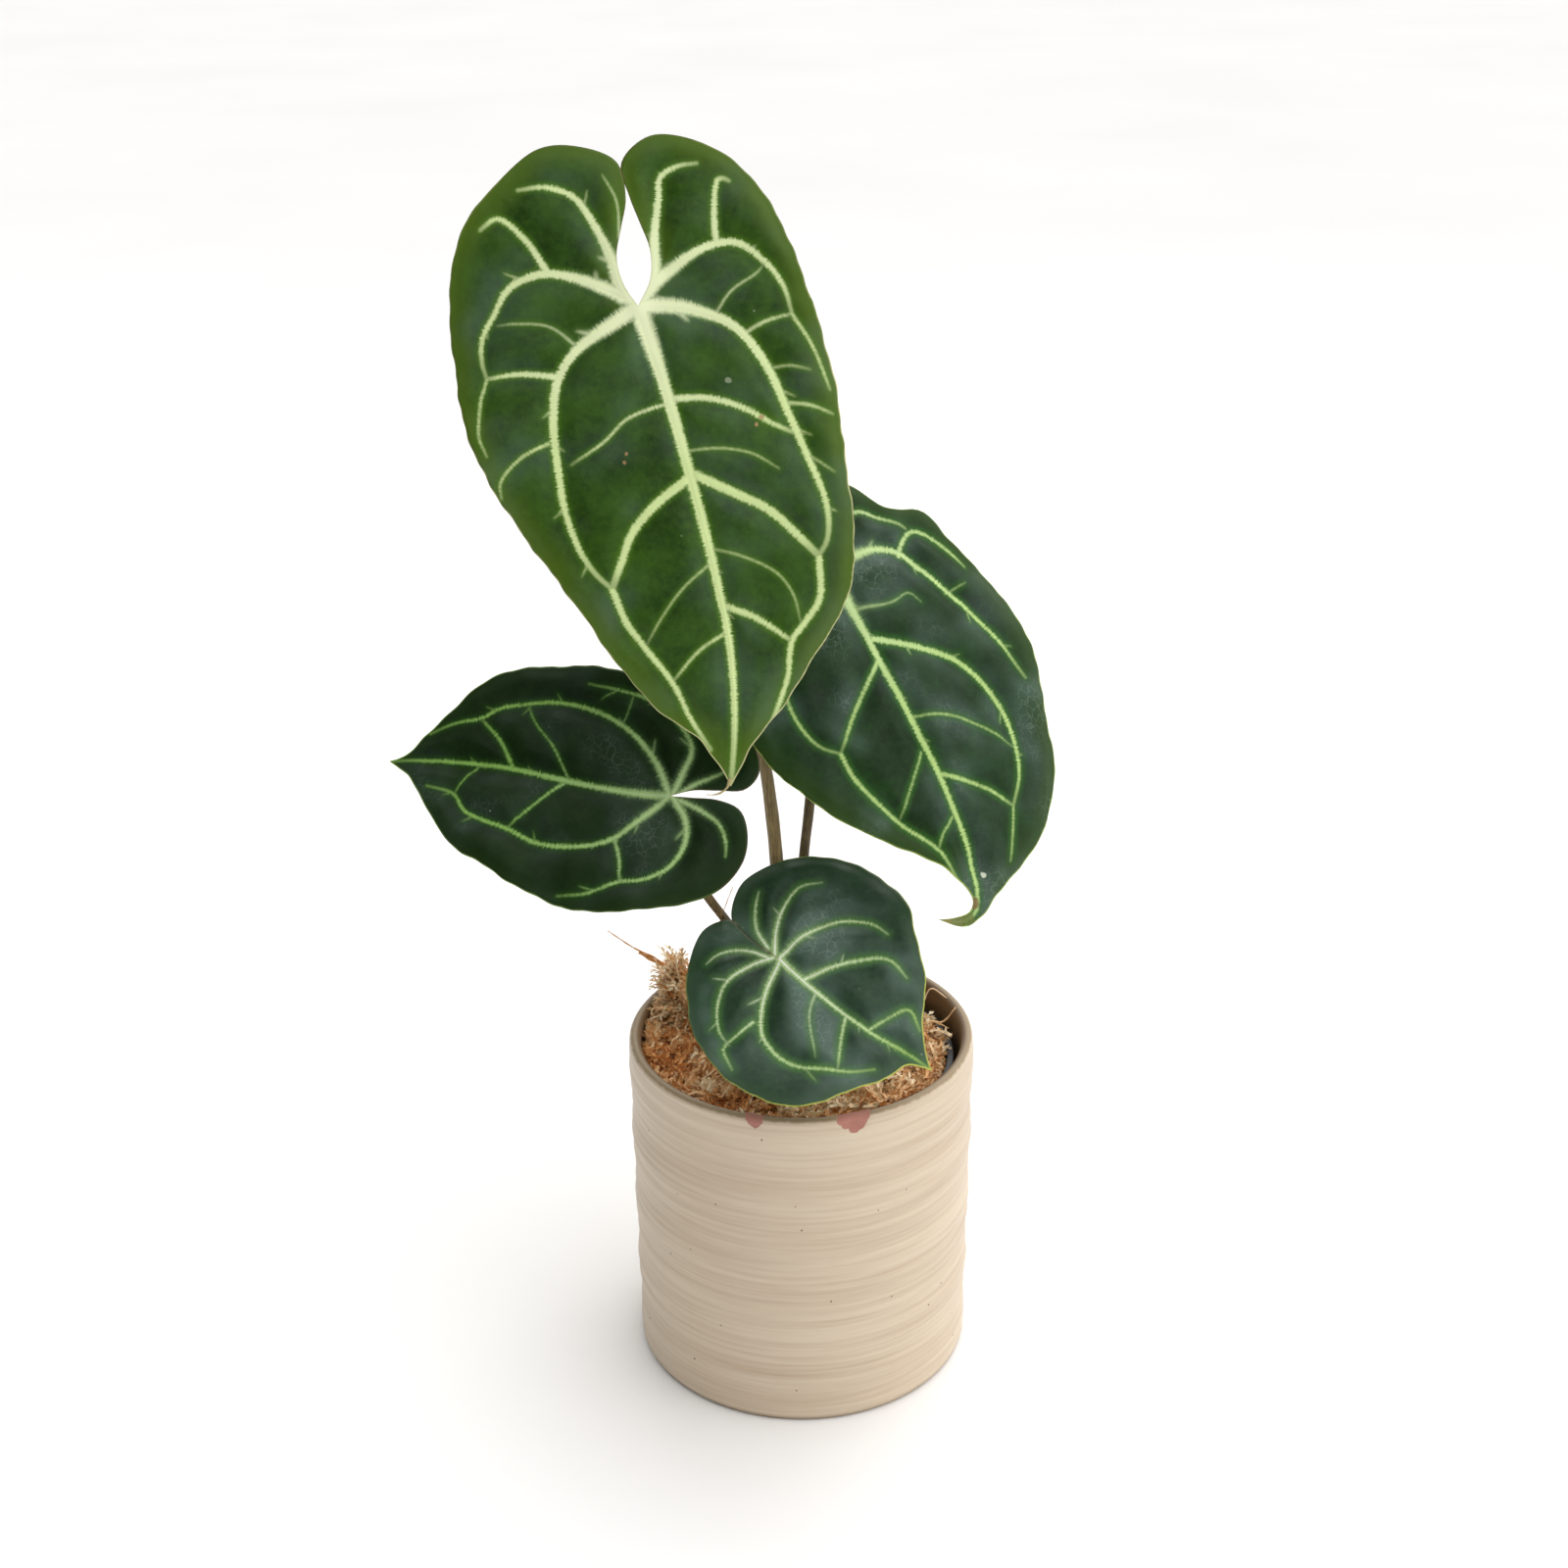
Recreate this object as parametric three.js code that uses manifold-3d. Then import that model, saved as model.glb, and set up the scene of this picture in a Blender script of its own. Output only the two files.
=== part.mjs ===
// A potted velvet-leaf anthurium: four heart-shaped blades on thin stalks, rising from moss
// in a plastic grow pot that stands inside a stoneware cachepot.
// Millimetres, +Z up. The origin is the centre of the cachepot's flat base.
import * as THREE from 'three';
import { mergeVertices } from 'three/addons/utils/BufferGeometryUtils.js';
import Module from 'manifold-3d';

const wasm = await Module();
wasm.setup();

// Clearance between two solids that touch, and the distance under which corners are one.
const GAP = 0.3;
const WELD = 1e-4;

// The turn from one grown part to the next, as on a sunflower.
const GOLDEN_ANGLE = Math.PI * (3 - Math.sqrt(5));

// Cachepot: thrown stoneware with a plain glazed lip.
const POT_HEIGHT = 140;
const POT_RIM_RADIUS = 68.3;
const POT_BASE_RADIUS = 67;
const POT_WALL = 4.6;
const POT_FLOOR = 8;
const POT_FOOT_BEVEL = 2.2;
const POT_RING_DEPTH = 0.35;
const POT_RING_PITCH = 30;
const POT_STEPS_PER_RING = 3;
const POT_COVE_RUN = 5;
const POT_COVE_RISE = 6;
const POT_SEGMENTS = 60;

// Grow pot: thin black plastic, tapered, with a stepped collar and a rolled rim.
const GROW_TOP = 130;
const GROW_COLLAR = 14;
const GROW_BASE_RADIUS = 46;
const GROW_SHOULDER_RADIUS = 57.4;
const GROW_COLLAR_RADIUS = 59.4;
const GROW_RIM_RADIUS = 61;
const GROW_RIM_DEPTH = 3;
const GROW_WALL = 1.2;
const GROW_FLOOR = 2;
const GROW_FOOT_BEVEL = 1;
const GROW_RIM_BEVEL = 0.6;
const GROW_STEP_RISE = 1.5;
const GROW_INNER_STEP = [0.7, 2.2];
const GROW_SEGMENTS = 48;

// Moss that fills the grow pot: a lumpy mound with strands standing out of it.
const MOSS_EDGE = 126.5;
const MOSS_CROWN = 135;
const MOSS_LUMP = 2.4;
const MOSS_WALL_DROP = 3;
const MOSS_PATCHES = { across: 0.21, shift: 1.7, deep: 0.19, deepShift: 0.6 };
// Lumps as [radians per mm along x, the same along y, shift, share of the height].
const MOSS_WAVES = [[0.37, -0.31, 0, 0.6], [0.52, 0.45, 2, 0.4]];
const MOSS_SEGMENTS = 32;
const MOSS_RINGS = [12, 21, 30, 39, 47, 53.5];
const MOSS_SEED = 7;
const STRAND_SIDES = 3;
const STRAND_BENDS = 2;
const STRAND_ROOT = 3;
const STRAND_HEIGHT = [4, 9];
const STRAND_RADIUS = [1.3, 2.3];
const STRAND_LEAN = 5;
const STRAND_COUNT = 70;
const STRAND_REACH = 48;
const STRAND_CLEAR_OF_STEM = 17;
const TUFT_STRANDS = 20;
const TUFT_PLACE = [-35, 28];
const TUFT_SPREAD = 7;
const TUFT_HEIGHT = 38;
const TUFT_SHORTEST = 0.45;
const TUFT_RADIUS = 2.2;
const TUFT_FAN = 1.6;
const TUFT_LEAN = 22;

// Stem: the short stock that the leaf stalks grow from.
const STEM_PLACE = [-2, 7];
const STEM_RADIUS = 6.5;
const STEM_BOTTOM = 100;
const STEM_TOP = 139;
const STEM_END_SHARE = 0.6;
const STEM_ROUNDING = 6;
const STEM_SIDES = 14;
const STALK_SIDES = 10;
const TAPER_END = 0.4;
const KNEE_LENGTH = 18;
const KNEE_DROP = 7;
const KNEE_SWELL = 1.25;
const TRIM_SIZE = 20;

// Blades: leathery, puckered between the main veins, ribbed beneath them.
const BLADE_THICKNESS = 1;
const BLADE_EDGE_THICKNESS = 0.7;
const VEIN_SINK = 0.9;
const PUCKER = 0.9;
const PUCKER_WIDTH = 9;
const RIB_DEPTH = 0.7;
const RIB_HALF_WIDTH = 3.5;
const SNAP = 0.42;
const CAMBER_SPAN = 100;
const WAVE_SHIFT = 1.3;
const CURVE_STEPS = 160;
const VEIN_STEPS = 4;
const PLACES_PER_MM = 500;

const COLOURS = {
  stoneware: 0xc9b79b,
  plastic: 0x1d1e20,
  moss: 0xa8794c,
  stalk: 0x84704f,
  upper: 0x2c4a26,
  lower: 0x22372b,
};

// The four leaves. A blade lies on flat axes: across, to the right when its tip hangs down
// towards the viewer, and along, from the joint of its stalk (0) to its tip. A margin runs
// from the joint round one lobe to the tip; lobeEnd and waist are the places in that list
// where the lobe's vein and the row through the joint meet it.
// heading, droop and roll turn the blade at its joint, in degrees; bend, sweep and lobeBend
// curve it along its length, and camber is the arch across it, in degrees per 100 mm.
const LEAVES = [
  {
    name: 'tall',
    joint: [-55.8, 12, 426.4],
    heading: -57.5,
    droop: 56.4,
    roll: 30.4,
    length: 173,
    bend: 18,
    sweep: -14,
    lobe: 65,
    lobeBend: 10,
    camber: 10,
    wave: [3.2, 88, 0.4],
    halfWidth: 66,
    colour: COLOURS.upper,
    rows: 22,
    lobeRows: 10,
    columns: 9,
    sinusColumns: 2,
    midrib: [[0, 0], [1, 30], [2, 60], [4, 100], [5, 122], [3.5, 150], [0, 174]],
    sides: [
      {
        margin: [[0, 0], [-2.5, -9], [-2, -19], [3, -29], [7.5, -38], [8.2, -51], [-5, -61],
          [-17, -63.5], [-33, -57.5], [-51, -45.5], [-62, -28], [-67.5, -11], [-70, 5],
          [-71.3, 24], [-68.5, 46], [-62, 67], [-53, 88], [-43.5, 108], [-34, 127.5],
          [-23, 144], [-10, 156], [-3, 167], [0, 174]],
        lobeEnd: 8,
        waist: 13,
        lobeVein: [[0, 0], [-7, -10], [-9, -24], [-10, -38], [-18, -50], [-33, -57.5]],
      },
      {
        margin: [[0, 0], [7, -8], [10, -18], [9.5, -28], [8.8, -38], [9.7, -50], [22, -56],
          [37, -50], [50, -36], [56.5, -17], [58.5, 3], [59.5, 24], [59.5, 44], [57, 66],
          [55.5, 86], [52.5, 104], [46, 118], [35, 130], [26, 142], [13, 155], [5, 166],
          [0, 174]],
        lobeEnd: 7,
        waist: 11,
        lobeVein: [[0, 0], [11, -7], [16, -20], [19, -33], [26, -43], [37, -50]],
      },
    ],
    veins: [
      [[0, 0], [-25, 8], [-36, 18], [-42, 36], [-44, 62], [-38, 90], [-30, 111], [-17, 134],
        [-6, 160]],
      [[0, 0], [20, 8], [32, 20], [41, 50], [47, 82], [40, 100], [33, 118], [24, 137],
        [13, 156]],
      [[0, -2], [-20, -18], [-42, -21], [-58, -6], [-63, 17], [-66, 38]],
      [[4, -4], [30, -13], [42, -9], [51, 10], [57, 45]],
      [[1, 36], [-25, 44], [-40, 52]],
      [[2, 35], [27, 45], [42, 57]],
      [[2, 62], [-22, 78], [-35, 97]],
      [[3, 63], [27, 80], [42, 98]],
      [[4, 118], [-17, 134]],
      [[5, 109], [29, 125]],
      [[-27, -22], [-38, -44]],
      [[33, -13], [42, -36]],
      [[-36, 15], [-60, 7]],
    ],
    stalk: {
      radius: 2.4,
      baseRadius: 3.4,
      steps: 22,
      route: [[-5, 10, 131], [-7, 14.5, 170], [-9, 16, 204], [-11, 14.5, 230],
        [-14.5, 12, 256], [-30, 11, 308], [-47, 17, 370]],
    },
  },
  {
    name: 'right',
    joint: [11.4, 38, 320.5],
    heading: -47.5,
    droop: 42.2,
    roll: 16.9,
    length: 144,
    bend: 25,
    sweep: -8,
    lobe: 55,
    lobeBend: 10,
    camber: 20,
    wave: [2.8, 74, 1.2],
    halfWidth: 62,
    colour: COLOURS.lower,
    rows: 20,
    lobeRows: 8,
    columns: 8,
    sinusColumns: 2,
    midrib: [[0, 0], [0, 40], [2, 70], [4, 95], [5, 122], [3, 138], [0.5, 144], [-6, 145.6],
      [-15, 142]],
    sides: [
      {
        margin: [[0, 0], [-3, -9], [-3, -20], [-4, -29], [-12, -34], [-25, -31], [-36, -20],
          [-43, -6], [-48, 10], [-54, 26], [-58, 42], [-57.5, 58], [-49, 80], [-36, 98],
          [-18, 114], [-7, 124], [-1, 133], [1, 139], [-1.5, 142.7], [-8, 143.5],
          [-15, 142]],
        lobeEnd: 5,
        waist: 8,
        lobeVein: [[0, 0], [-7, -9], [-14, -19], [-25, -31]],
      },
      {
        margin: [[0, 0], [4, -9], [5, -20], [6, -31], [15, -36], [26, -27], [36, -12],
          [49, -5], [53.5, 8], [60, 23], [64, 42], [62.5, 62], [58, 82], [55, 101],
          [42, 120], [26, 132.5], [10, 141], [3, 146.5], [-6, 147.6], [-15, 142]],
        lobeEnd: 5,
        waist: 9,
        lobeVein: [[0, 0], [8, -6], [18, -16], [26, -27]],
      },
    ],
    veins: [
      [[0, 0], [22, 1], [35, 15], [46, 38], [54, 68]],
      [[2, 33], [28, 51], [39, 75], [37, 100], [25, 120], [17, 134]],
      [[0, 0], [-20, 4], [-34, 20], [-40, 46], [-31, 68]],
      [[0, 41], [-18, 58], [-30, 70], [-24, 92], [-7, 117]],
      [[4, 90], [29, 111]],
      [[1, 80], [-18, 101]],
      [[29, 7], [45, 3]],
      [[2, 18], [27, 27]],
      [[-1, -4], [-20, -12], [-36, 2], [-44, 20], [-50, 42]],
    ],
    stalk: {
      radius: 2,
      baseRadius: 3,
      steps: 18,
      route: [[1, 10, 131], [1, 13, 175], [1.4, 16, 206], [4, 21, 230], [8, 40, 285]],
    },
  },
  {
    name: 'left',
    joint: [-47.7, -28, 255],
    heading: 166.9,
    droop: -4.7,
    roll: -45.1,
    length: 114,
    bend: 15,
    sweep: 0,
    lobe: 40,
    lobeBend: 0,
    camber: 8,
    fold: 5,
    wave: [2.2, 62, 0.2],
    halfWidth: 48,
    colour: COLOURS.lower,
    rows: 16,
    lobeRows: 7,
    columns: 7,
    sinusColumns: 2,
    midrib: [[0, 0], [1, 20], [0, 40], [-2, 65], [-2, 85], [-1, 105], [0, 115]],
    sides: [
      {
        margin: [[0, 0], [-3.5, -8], [-5, -17], [-7, -27], [-14, -31], [-24, -27], [-33, -15],
          [-39, 0], [-43, 18], [-45.3, 36], [-44.5, 56], [-39, 75.5], [-26, 89.5],
          [-12, 101], [-4.5, 106.5], [-1.5, 111], [0, 115]],
        lobeEnd: 5,
        waist: 8,
        lobeVein: [[0, 0], [-9, -7], [-13, -16], [-24, -27]],
      },
      {
        margin: [[0, 0], [-0.8, -9], [-1.5, -18], [1, -27], [10, -32], [21, -32.5], [33, -26],
          [42, -11], [47.5, 6], [49.2, 24], [45.5, 43], [39, 60], [31, 78], [19, 91.5],
          [7, 102.5], [2, 111], [0, 115]],
        lobeEnd: 6,
        waist: 9,
        lobeVein: [[0, 0], [7, -9], [11, -19], [20, -25], [33, -26]],
      },
    ],
    veins: [
      [[0, 0], [18, 15], [26, 38], [21, 66], [9, 95]],
      [[0, 0], [-20, 17], [-30, 48], [-20, 81], [-9, 101]],
      [[1, -3], [18, -10], [34, 1], [45, 32]],
      [[0, -1], [-20, -4], [-34, 12], [-38, 40]],
      [[0, 41], [22, 58]],
      [[-2, 76], [13, 84]],
      [[0, 40], [-28, 62]],
      [[-3, 63], [-20, 80]],
    ],
    stalk: {
      radius: 1.8,
      baseRadius: 2.8,
      steps: 14,
      route: [[-6, 8, 131], [-14, 7, 156], [-22, 3, 175], [-29, -2, 190], [-37, -8, 206],
        [-45, -13, 228]],
    },
  },
  {
    name: 'low',
    joint: [-8.2, -25, 185.4],
    heading: -36.3,
    droop: 15.2,
    roll: 30.5,
    length: 71,
    bend: 20,
    sweep: 0,
    lobe: 32,
    lobeBend: 0,
    camber: 15,
    fold: 5,
    wave: [2, 52, 2.2],
    halfWidth: 50,
    colour: COLOURS.lower,
    rows: 12,
    lobeRows: 7,
    columns: 7,
    sinusColumns: 2,
    midrib: [[0, 0], [-2, 15], [-3, 30], [-3, 45], [-1, 60], [0, 72.5]],
    sides: [
      {
        margin: [[0, 0], [-2.4, -5.5], [-1.2, -11.5], [0.2, -18], [-1.6, -27], [-11, -31],
          [-25, -25], [-37, -15], [-46, -2], [-50.8, 14], [-48.5, 31], [-41, 45],
          [-28, 53], [-13, 61.5], [-4.5, 64.5], [-1.5, 69], [0, 72.5]],
        lobeEnd: 6,
        waist: 9,
        lobeVein: [[0, 0], [-7, -9], [-11, -18], [-25, -25]],
      },
      {
        margin: [[0, 0], [1, -5.5], [-0.2, -12], [1.4, -19], [10, -31.5], [20, -31.5],
          [33, -25.5], [43, -14], [49, -1], [50.5, 11], [47.5, 24.5], [38, 36.5], [27, 49],
          [14, 58], [5, 65.5], [1.5, 70], [0, 72.5]],
        lobeEnd: 6,
        waist: 9,
        lobeVein: [[0, 0], [8, -9], [12, -18], [20, -24], [33, -25.5]],
      },
    ],
    veins: [
      [[0, 0], [-22, 8], [-32, 25], [-25, 43], [-12, 57]],
      [[0, 0], [20, 5], [31, 18], [32, 29]],
      [[-1, 13], [17, 25], [23, 44]],
      [[-1, -2], [-20, -10], [-36, 1], [-43, 20]],
      [[1, -2], [18, -12], [34, -7], [42, 10]],
      [[-3, 20], [-26, 36]],
      [[-2, 44], [13, 52]],
    ],
    stalk: {
      radius: 1.6,
      baseRadius: 2.5,
      steps: 10,
      route: [[-2, 3, 131], [-4, -4, 148], [-6, -13, 163]],
    },
  },
];

const radians = THREE.MathUtils.degToRad;

// A repeatable run of draws between 0 and 1.
function seeded(seed) {
  let state = seed;
  return () => {
    state = (state * 1664525 + 1013904223) % 4294967296;
    return state / 4294967296;
  };
}

function plainMaterial(color, roughness) {
  return new THREE.MeshStandardMaterial({ color, roughness, metalness: 0 });
}

// A closed three.js geometry as a solid that can be joined and cut.
function solidFrom(geometry) {
  const bare = new THREE.BufferGeometry();
  bare.setAttribute('position', geometry.getAttribute('position').clone());
  if (geometry.index) {
    bare.setIndex(geometry.index.clone());
  }
  const merged = mergeVertices(bare, WELD);
  return new wasm.Manifold(new wasm.Mesh({
    numProp: 3,
    vertProperties: new Float32Array(merged.getAttribute('position').array),
    triVerts: new Uint32Array(merged.index.array),
  }));
}

function geometryFrom(solid) {
  const mesh = solid.getMesh();
  const geometry = new THREE.BufferGeometry();
  geometry.setAttribute('position', new THREE.BufferAttribute(mesh.vertProperties, 3));
  geometry.setIndex(new THREE.BufferAttribute(mesh.triVerts, 1));
  geometry.computeVertexNormals();
  return geometry;
}

// A profile of [radius, height] pairs turned about +Z. It starts and ends on the axis.
function turned(profile, segments) {
  const points = profile.map(([radius, height]) => new THREE.Vector2(radius, height));
  return new THREE.LatheGeometry(points, segments).rotateX(Math.PI / 2);
}

// The cachepot's outer radius, with the soft rings that the thrower's fingers left.
function potRadius(height) {
  const taper = THREE.MathUtils.lerp(POT_BASE_RADIUS, POT_RIM_RADIUS, height / POT_HEIGHT);
  return taper + POT_RING_DEPTH * Math.sin((2 * Math.PI * height) / POT_RING_PITCH);
}

function cachepot() {
  const lip = POT_WALL / 2;
  const outerStep = POT_RING_PITCH / POT_STEPS_PER_RING;
  const profile = [[0, 0], [POT_BASE_RADIUS - POT_FOOT_BEVEL, 0]];
  for (let height = outerStep / 2; height < POT_HEIGHT - lip; height += outerStep) {
    profile.push([potRadius(height), height]);
  }
  for (const turn of [0, 45, 90, 135, 180]) {
    const angle = radians(turn);
    profile.push([
      POT_RIM_RADIUS - lip + lip * Math.cos(angle),
      POT_HEIGHT - lip + lip * Math.sin(angle),
    ]);
  }
  const inner = POT_BASE_RADIUS - POT_WALL;
  profile.push([inner, POT_FLOOR + POT_COVE_RISE], [inner - POT_COVE_RUN, POT_FLOOR]);
  profile.push([0, POT_FLOOR]);
  return turned(profile, POT_SEGMENTS);
}

function growPot() {
  const foot = POT_FLOOR + GAP;
  const shoulder = GROW_TOP - GROW_COLLAR;
  const rimBottom = GROW_TOP - GROW_RIM_DEPTH;
  const [innerLow, innerHigh] = GROW_INNER_STEP;
  return turned([
    [0, foot],
    [GROW_BASE_RADIUS - GROW_FOOT_BEVEL, foot],
    [GROW_BASE_RADIUS, foot + GROW_FOOT_BEVEL],
    [GROW_SHOULDER_RADIUS, shoulder],
    [GROW_COLLAR_RADIUS, shoulder + GROW_STEP_RISE],
    [GROW_COLLAR_RADIUS, rimBottom],
    [GROW_RIM_RADIUS, rimBottom],
    [GROW_RIM_RADIUS, GROW_TOP - GROW_RIM_BEVEL],
    [GROW_RIM_RADIUS - GROW_RIM_BEVEL, GROW_TOP],
    [GROW_COLLAR_RADIUS - GROW_WALL, GROW_TOP],
    [GROW_COLLAR_RADIUS - GROW_WALL, shoulder + innerHigh],
    [GROW_SHOULDER_RADIUS - GROW_WALL, shoulder + innerLow],
    [GROW_BASE_RADIUS - GROW_WALL, foot + GROW_FLOOR],
    [0, foot + GROW_FLOOR],
  ], GROW_SEGMENTS);
}

// The height of the moss at a place on it: a low dome with lumps a few strands wide.
function mossHeight(x, y) {
  const radius = Math.hypot(x, y);
  const dome = THREE.MathUtils.smoothstep(radius, 0, MOSS_RINGS.at(-1));
  const { across, shift, deep, deepShift } = MOSS_PATCHES;
  let lumps = Math.sin(across * x + shift) * Math.sin(deep * y + deepShift);
  for (const [alongX, alongY, start, share] of MOSS_WAVES) {
    lumps += share * Math.sin(alongX * x + alongY * y + start);
  }
  return THREE.MathUtils.lerp(MOSS_CROWN, MOSS_EDGE, dome) + (MOSS_LUMP * lumps) / 2;
}

// The fill as one turned solid, its upper rings then moved to the moss's height.
function mossMound() {
  const bottom = POT_FLOOR + GAP + GROW_FLOOR + GAP;
  const bottomRadius = GROW_BASE_RADIUS - GROW_WALL - GAP;
  const topRadius = GROW_SHOULDER_RADIUS - GROW_WALL - GAP;
  const wallTop = GROW_TOP - GROW_COLLAR;
  const level = GROW_TOP;
  const profile = [[0, bottom], [bottomRadius, bottom], [topRadius, wallTop]];
  profile.push([topRadius, MOSS_EDGE - MOSS_WALL_DROP]);
  for (const radius of [...MOSS_RINGS].reverse()) {
    profile.push([radius, level]);
  }
  profile.push([0, level]);
  const mound = turned(profile, MOSS_SEGMENTS);
  const places = mound.getAttribute('position');
  for (let i = 0; i < places.count; i += 1) {
    if (places.getZ(i) === level) {
      places.setZ(i, mossHeight(places.getX(i), places.getY(i)));
    }
  }
  return mound;
}

// One moss strand: a thin three-sided spike that leans over more the higher it gets.
function mossStrand(x, y, height, radius, lean, heading) {
  const length = height + STRAND_ROOT;
  const strand = new THREE.ConeGeometry(radius, length, STRAND_SIDES, STRAND_BENDS);
  strand.rotateX(Math.PI / 2).translate(0, 0, length / 2);
  const places = strand.getAttribute('position');
  for (let i = 0; i < places.count; i += 1) {
    const rise = places.getZ(i) / length;
    const drift = lean * rise * rise;
    places.setX(i, places.getX(i) + drift * Math.cos(heading));
    places.setY(i, places.getY(i) + drift * Math.sin(heading));
  }
  return strand.translate(x, y, mossHeight(x, y) - STRAND_ROOT);
}

function moss(stock) {
  const draw = seeded(MOSS_SEED);
  let solid = solidFrom(mossMound());
  for (let i = 0; i < STRAND_COUNT; i += 1) {
    const turn = i * GOLDEN_ANGLE;
    const reach = Math.sqrt((i + 0.5) / STRAND_COUNT);
    const radius = THREE.MathUtils.lerp(STRAND_CLEAR_OF_STEM, STRAND_REACH, reach);
    const x = radius * Math.cos(turn);
    const y = radius * Math.sin(turn);
    const height = THREE.MathUtils.lerp(...STRAND_HEIGHT, draw());
    const thickness = THREE.MathUtils.lerp(...STRAND_RADIUS, draw());
    const heading = 2 * Math.PI * draw();
    const strand = mossStrand(x, y, height, thickness, STRAND_LEAN, heading);
    solid = solid.add(solidFrom(strand));
  }
  for (let i = 0; i < TUFT_STRANDS; i += 1) {
    const turn = i * GOLDEN_ANGLE;
    const spread = TUFT_SPREAD * Math.sqrt(i / TUFT_STRANDS);
    const height = TUFT_HEIGHT * THREE.MathUtils.lerp(TUFT_SHORTEST, 1, draw());
    const x = TUFT_PLACE[0] + spread * Math.cos(turn);
    const y = TUFT_PLACE[1] + spread * Math.sin(turn);
    const heading = Math.atan2(y, x) + TUFT_FAN * (draw() - 0.5);
    const strand = mossStrand(x, y, height, TUFT_RADIUS, TUFT_LEAN * draw(), heading);
    solid = solid.add(solidFrom(strand));
  }
  return geometryFrom(solid.subtract(stock));
}

// The blade's curved sheet. stations hold the midrib's place and the three directions there,
// one for each millimetre from the back of the lobes to the tip.
class Sheet {
  constructor(leaf) {
    this.leaf = leaf;
    const heading = radians(leaf.heading);
    const droop = radians(leaf.droop);
    const along = new THREE.Vector3(
      Math.cos(droop) * Math.cos(heading),
      Math.cos(droop) * Math.sin(heading),
      -Math.sin(droop),
    );
    const up = new THREE.Vector3(
      Math.sin(droop) * Math.cos(heading),
      Math.sin(droop) * Math.sin(heading),
      Math.cos(droop),
    );
    const across = new THREE.Vector3().crossVectors(up, along);
    up.applyAxisAngle(along, radians(leaf.roll));
    across.applyAxisAngle(along, radians(leaf.roll));
    const start = { place: new THREE.Vector3(...leaf.joint), along, up, across };
    const forward = this.walk(start, leaf.length, 1, leaf.bend, leaf.sweep);
    const back = this.walk(start, leaf.lobe, -1, -leaf.lobeBend, 0);
    this.stations = [...back.reverse(), start, ...forward];
    this.first = -leaf.lobe;
  }

  // Steps of 1 mm from the joint, turning a little at each.
  walk(start, length, sign, bend, sweep) {
    const stations = [];
    let here = start;
    for (let i = 0; i < length; i += 1) {
      const bendStep = (sign * radians(bend)) / length;
      const sweepStep = (sign * radians(sweep)) / length;
      const along = here.along.clone().applyAxisAngle(here.across, bendStep);
      const up = here.up.clone().applyAxisAngle(here.across, bendStep);
      along.applyAxisAngle(up, sweepStep);
      const across = here.across.clone().applyAxisAngle(up, sweepStep);
      const place = here.place.clone().addScaledVector(along, sign);
      here = { place, along, up, across };
      stations.push(here);
    }
    return stations;
  }

  // The point of the sheet at a flat place, and the direction that its upper face looks in.
  at(x, y) {
    const { leaf, stations } = this;
    const last = stations.length - 1;
    const position = THREE.MathUtils.clamp(y - this.first, 0, last);
    const index = Math.min(Math.floor(position), last - 1);
    const share = position - index;
    const from = stations[index];
    const to = stations[index + 1];
    const along = from.along.clone().lerp(to.along, share).normalize();
    const up = from.up.clone().lerp(to.up, share).normalize();
    const across = from.across.clone().lerp(to.across, share).normalize();
    const side = Math.sign(x);
    const distance = Math.abs(x);
    const fold = radians(leaf.fold ?? 0);
    const camber = radians(leaf.camber) / CAMBER_SPAN;
    const slope = fold - camber * distance;
    const reach = (side * (Math.sin(fold) - Math.sin(slope))) / camber;
    const [height, pitch, phase] = leaf.wave;
    const wave = height * (distance / leaf.halfWidth) ** 2
      * Math.sin((2 * Math.PI * y) / pitch + phase + side * WAVE_SHIFT);
    const lift = (Math.cos(slope) - Math.cos(fold)) / camber + wave;
    const overshoot = y - this.first - position;
    const point = from.place.clone().lerp(to.place, share)
      .addScaledVector(along, overshoot)
      .addScaledVector(across, reach)
      .addScaledVector(up, lift);
    const normal = up.multiplyScalar(Math.cos(slope))
      .addScaledVector(across, -side * Math.sin(slope));
    return { point, normal };
  }
}

function flatCurve(points) {
  return new THREE.CatmullRomCurve3(points.map(([x, y]) => new THREE.Vector3(x, y, 0)));
}

// Places on a curve between two of its given points, at these shares of the way by length.
function placesBetween(curve, fromIndex, toIndex, shares) {
  const last = curve.points.length - 1;
  const trail = [];
  const lengths = [0];
  for (let i = 0; i <= CURVE_STEPS; i += 1) {
    const index = THREE.MathUtils.lerp(fromIndex, toIndex, i / CURVE_STEPS);
    trail.push(curve.getPoint(index / last));
    if (i > 0) {
      lengths.push(lengths[i - 1] + trail[i].distanceTo(trail[i - 1]));
    }
  }
  return shares.map((share) => {
    const wanted = share * lengths[CURVE_STEPS];
    const after = Math.max(1, lengths.findIndex((length) => length >= wanted - 1e-9));
    const step = (wanted - lengths[after - 1]) / (lengths[after] - lengths[after - 1]);
    return trail[after - 1].clone().lerp(trail[after], step);
  });
}

function evenShares(count) {
  return Array.from({ length: count + 1 }, (_, i) => i / count);
}

// The veins as short straight runs, for measuring how near a place on the blade is to one.
function veinRuns(leaf) {
  const lists = [leaf.midrib, ...leaf.veins, ...leaf.sides.map((side) => side.lobeVein)];
  return lists.flatMap((points) => {
    const trail = flatCurve(points).getPoints(points.length * VEIN_STEPS);
    return trail.slice(1).map((end, i) => new THREE.Line3(trail[i], end));
  });
}

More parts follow.
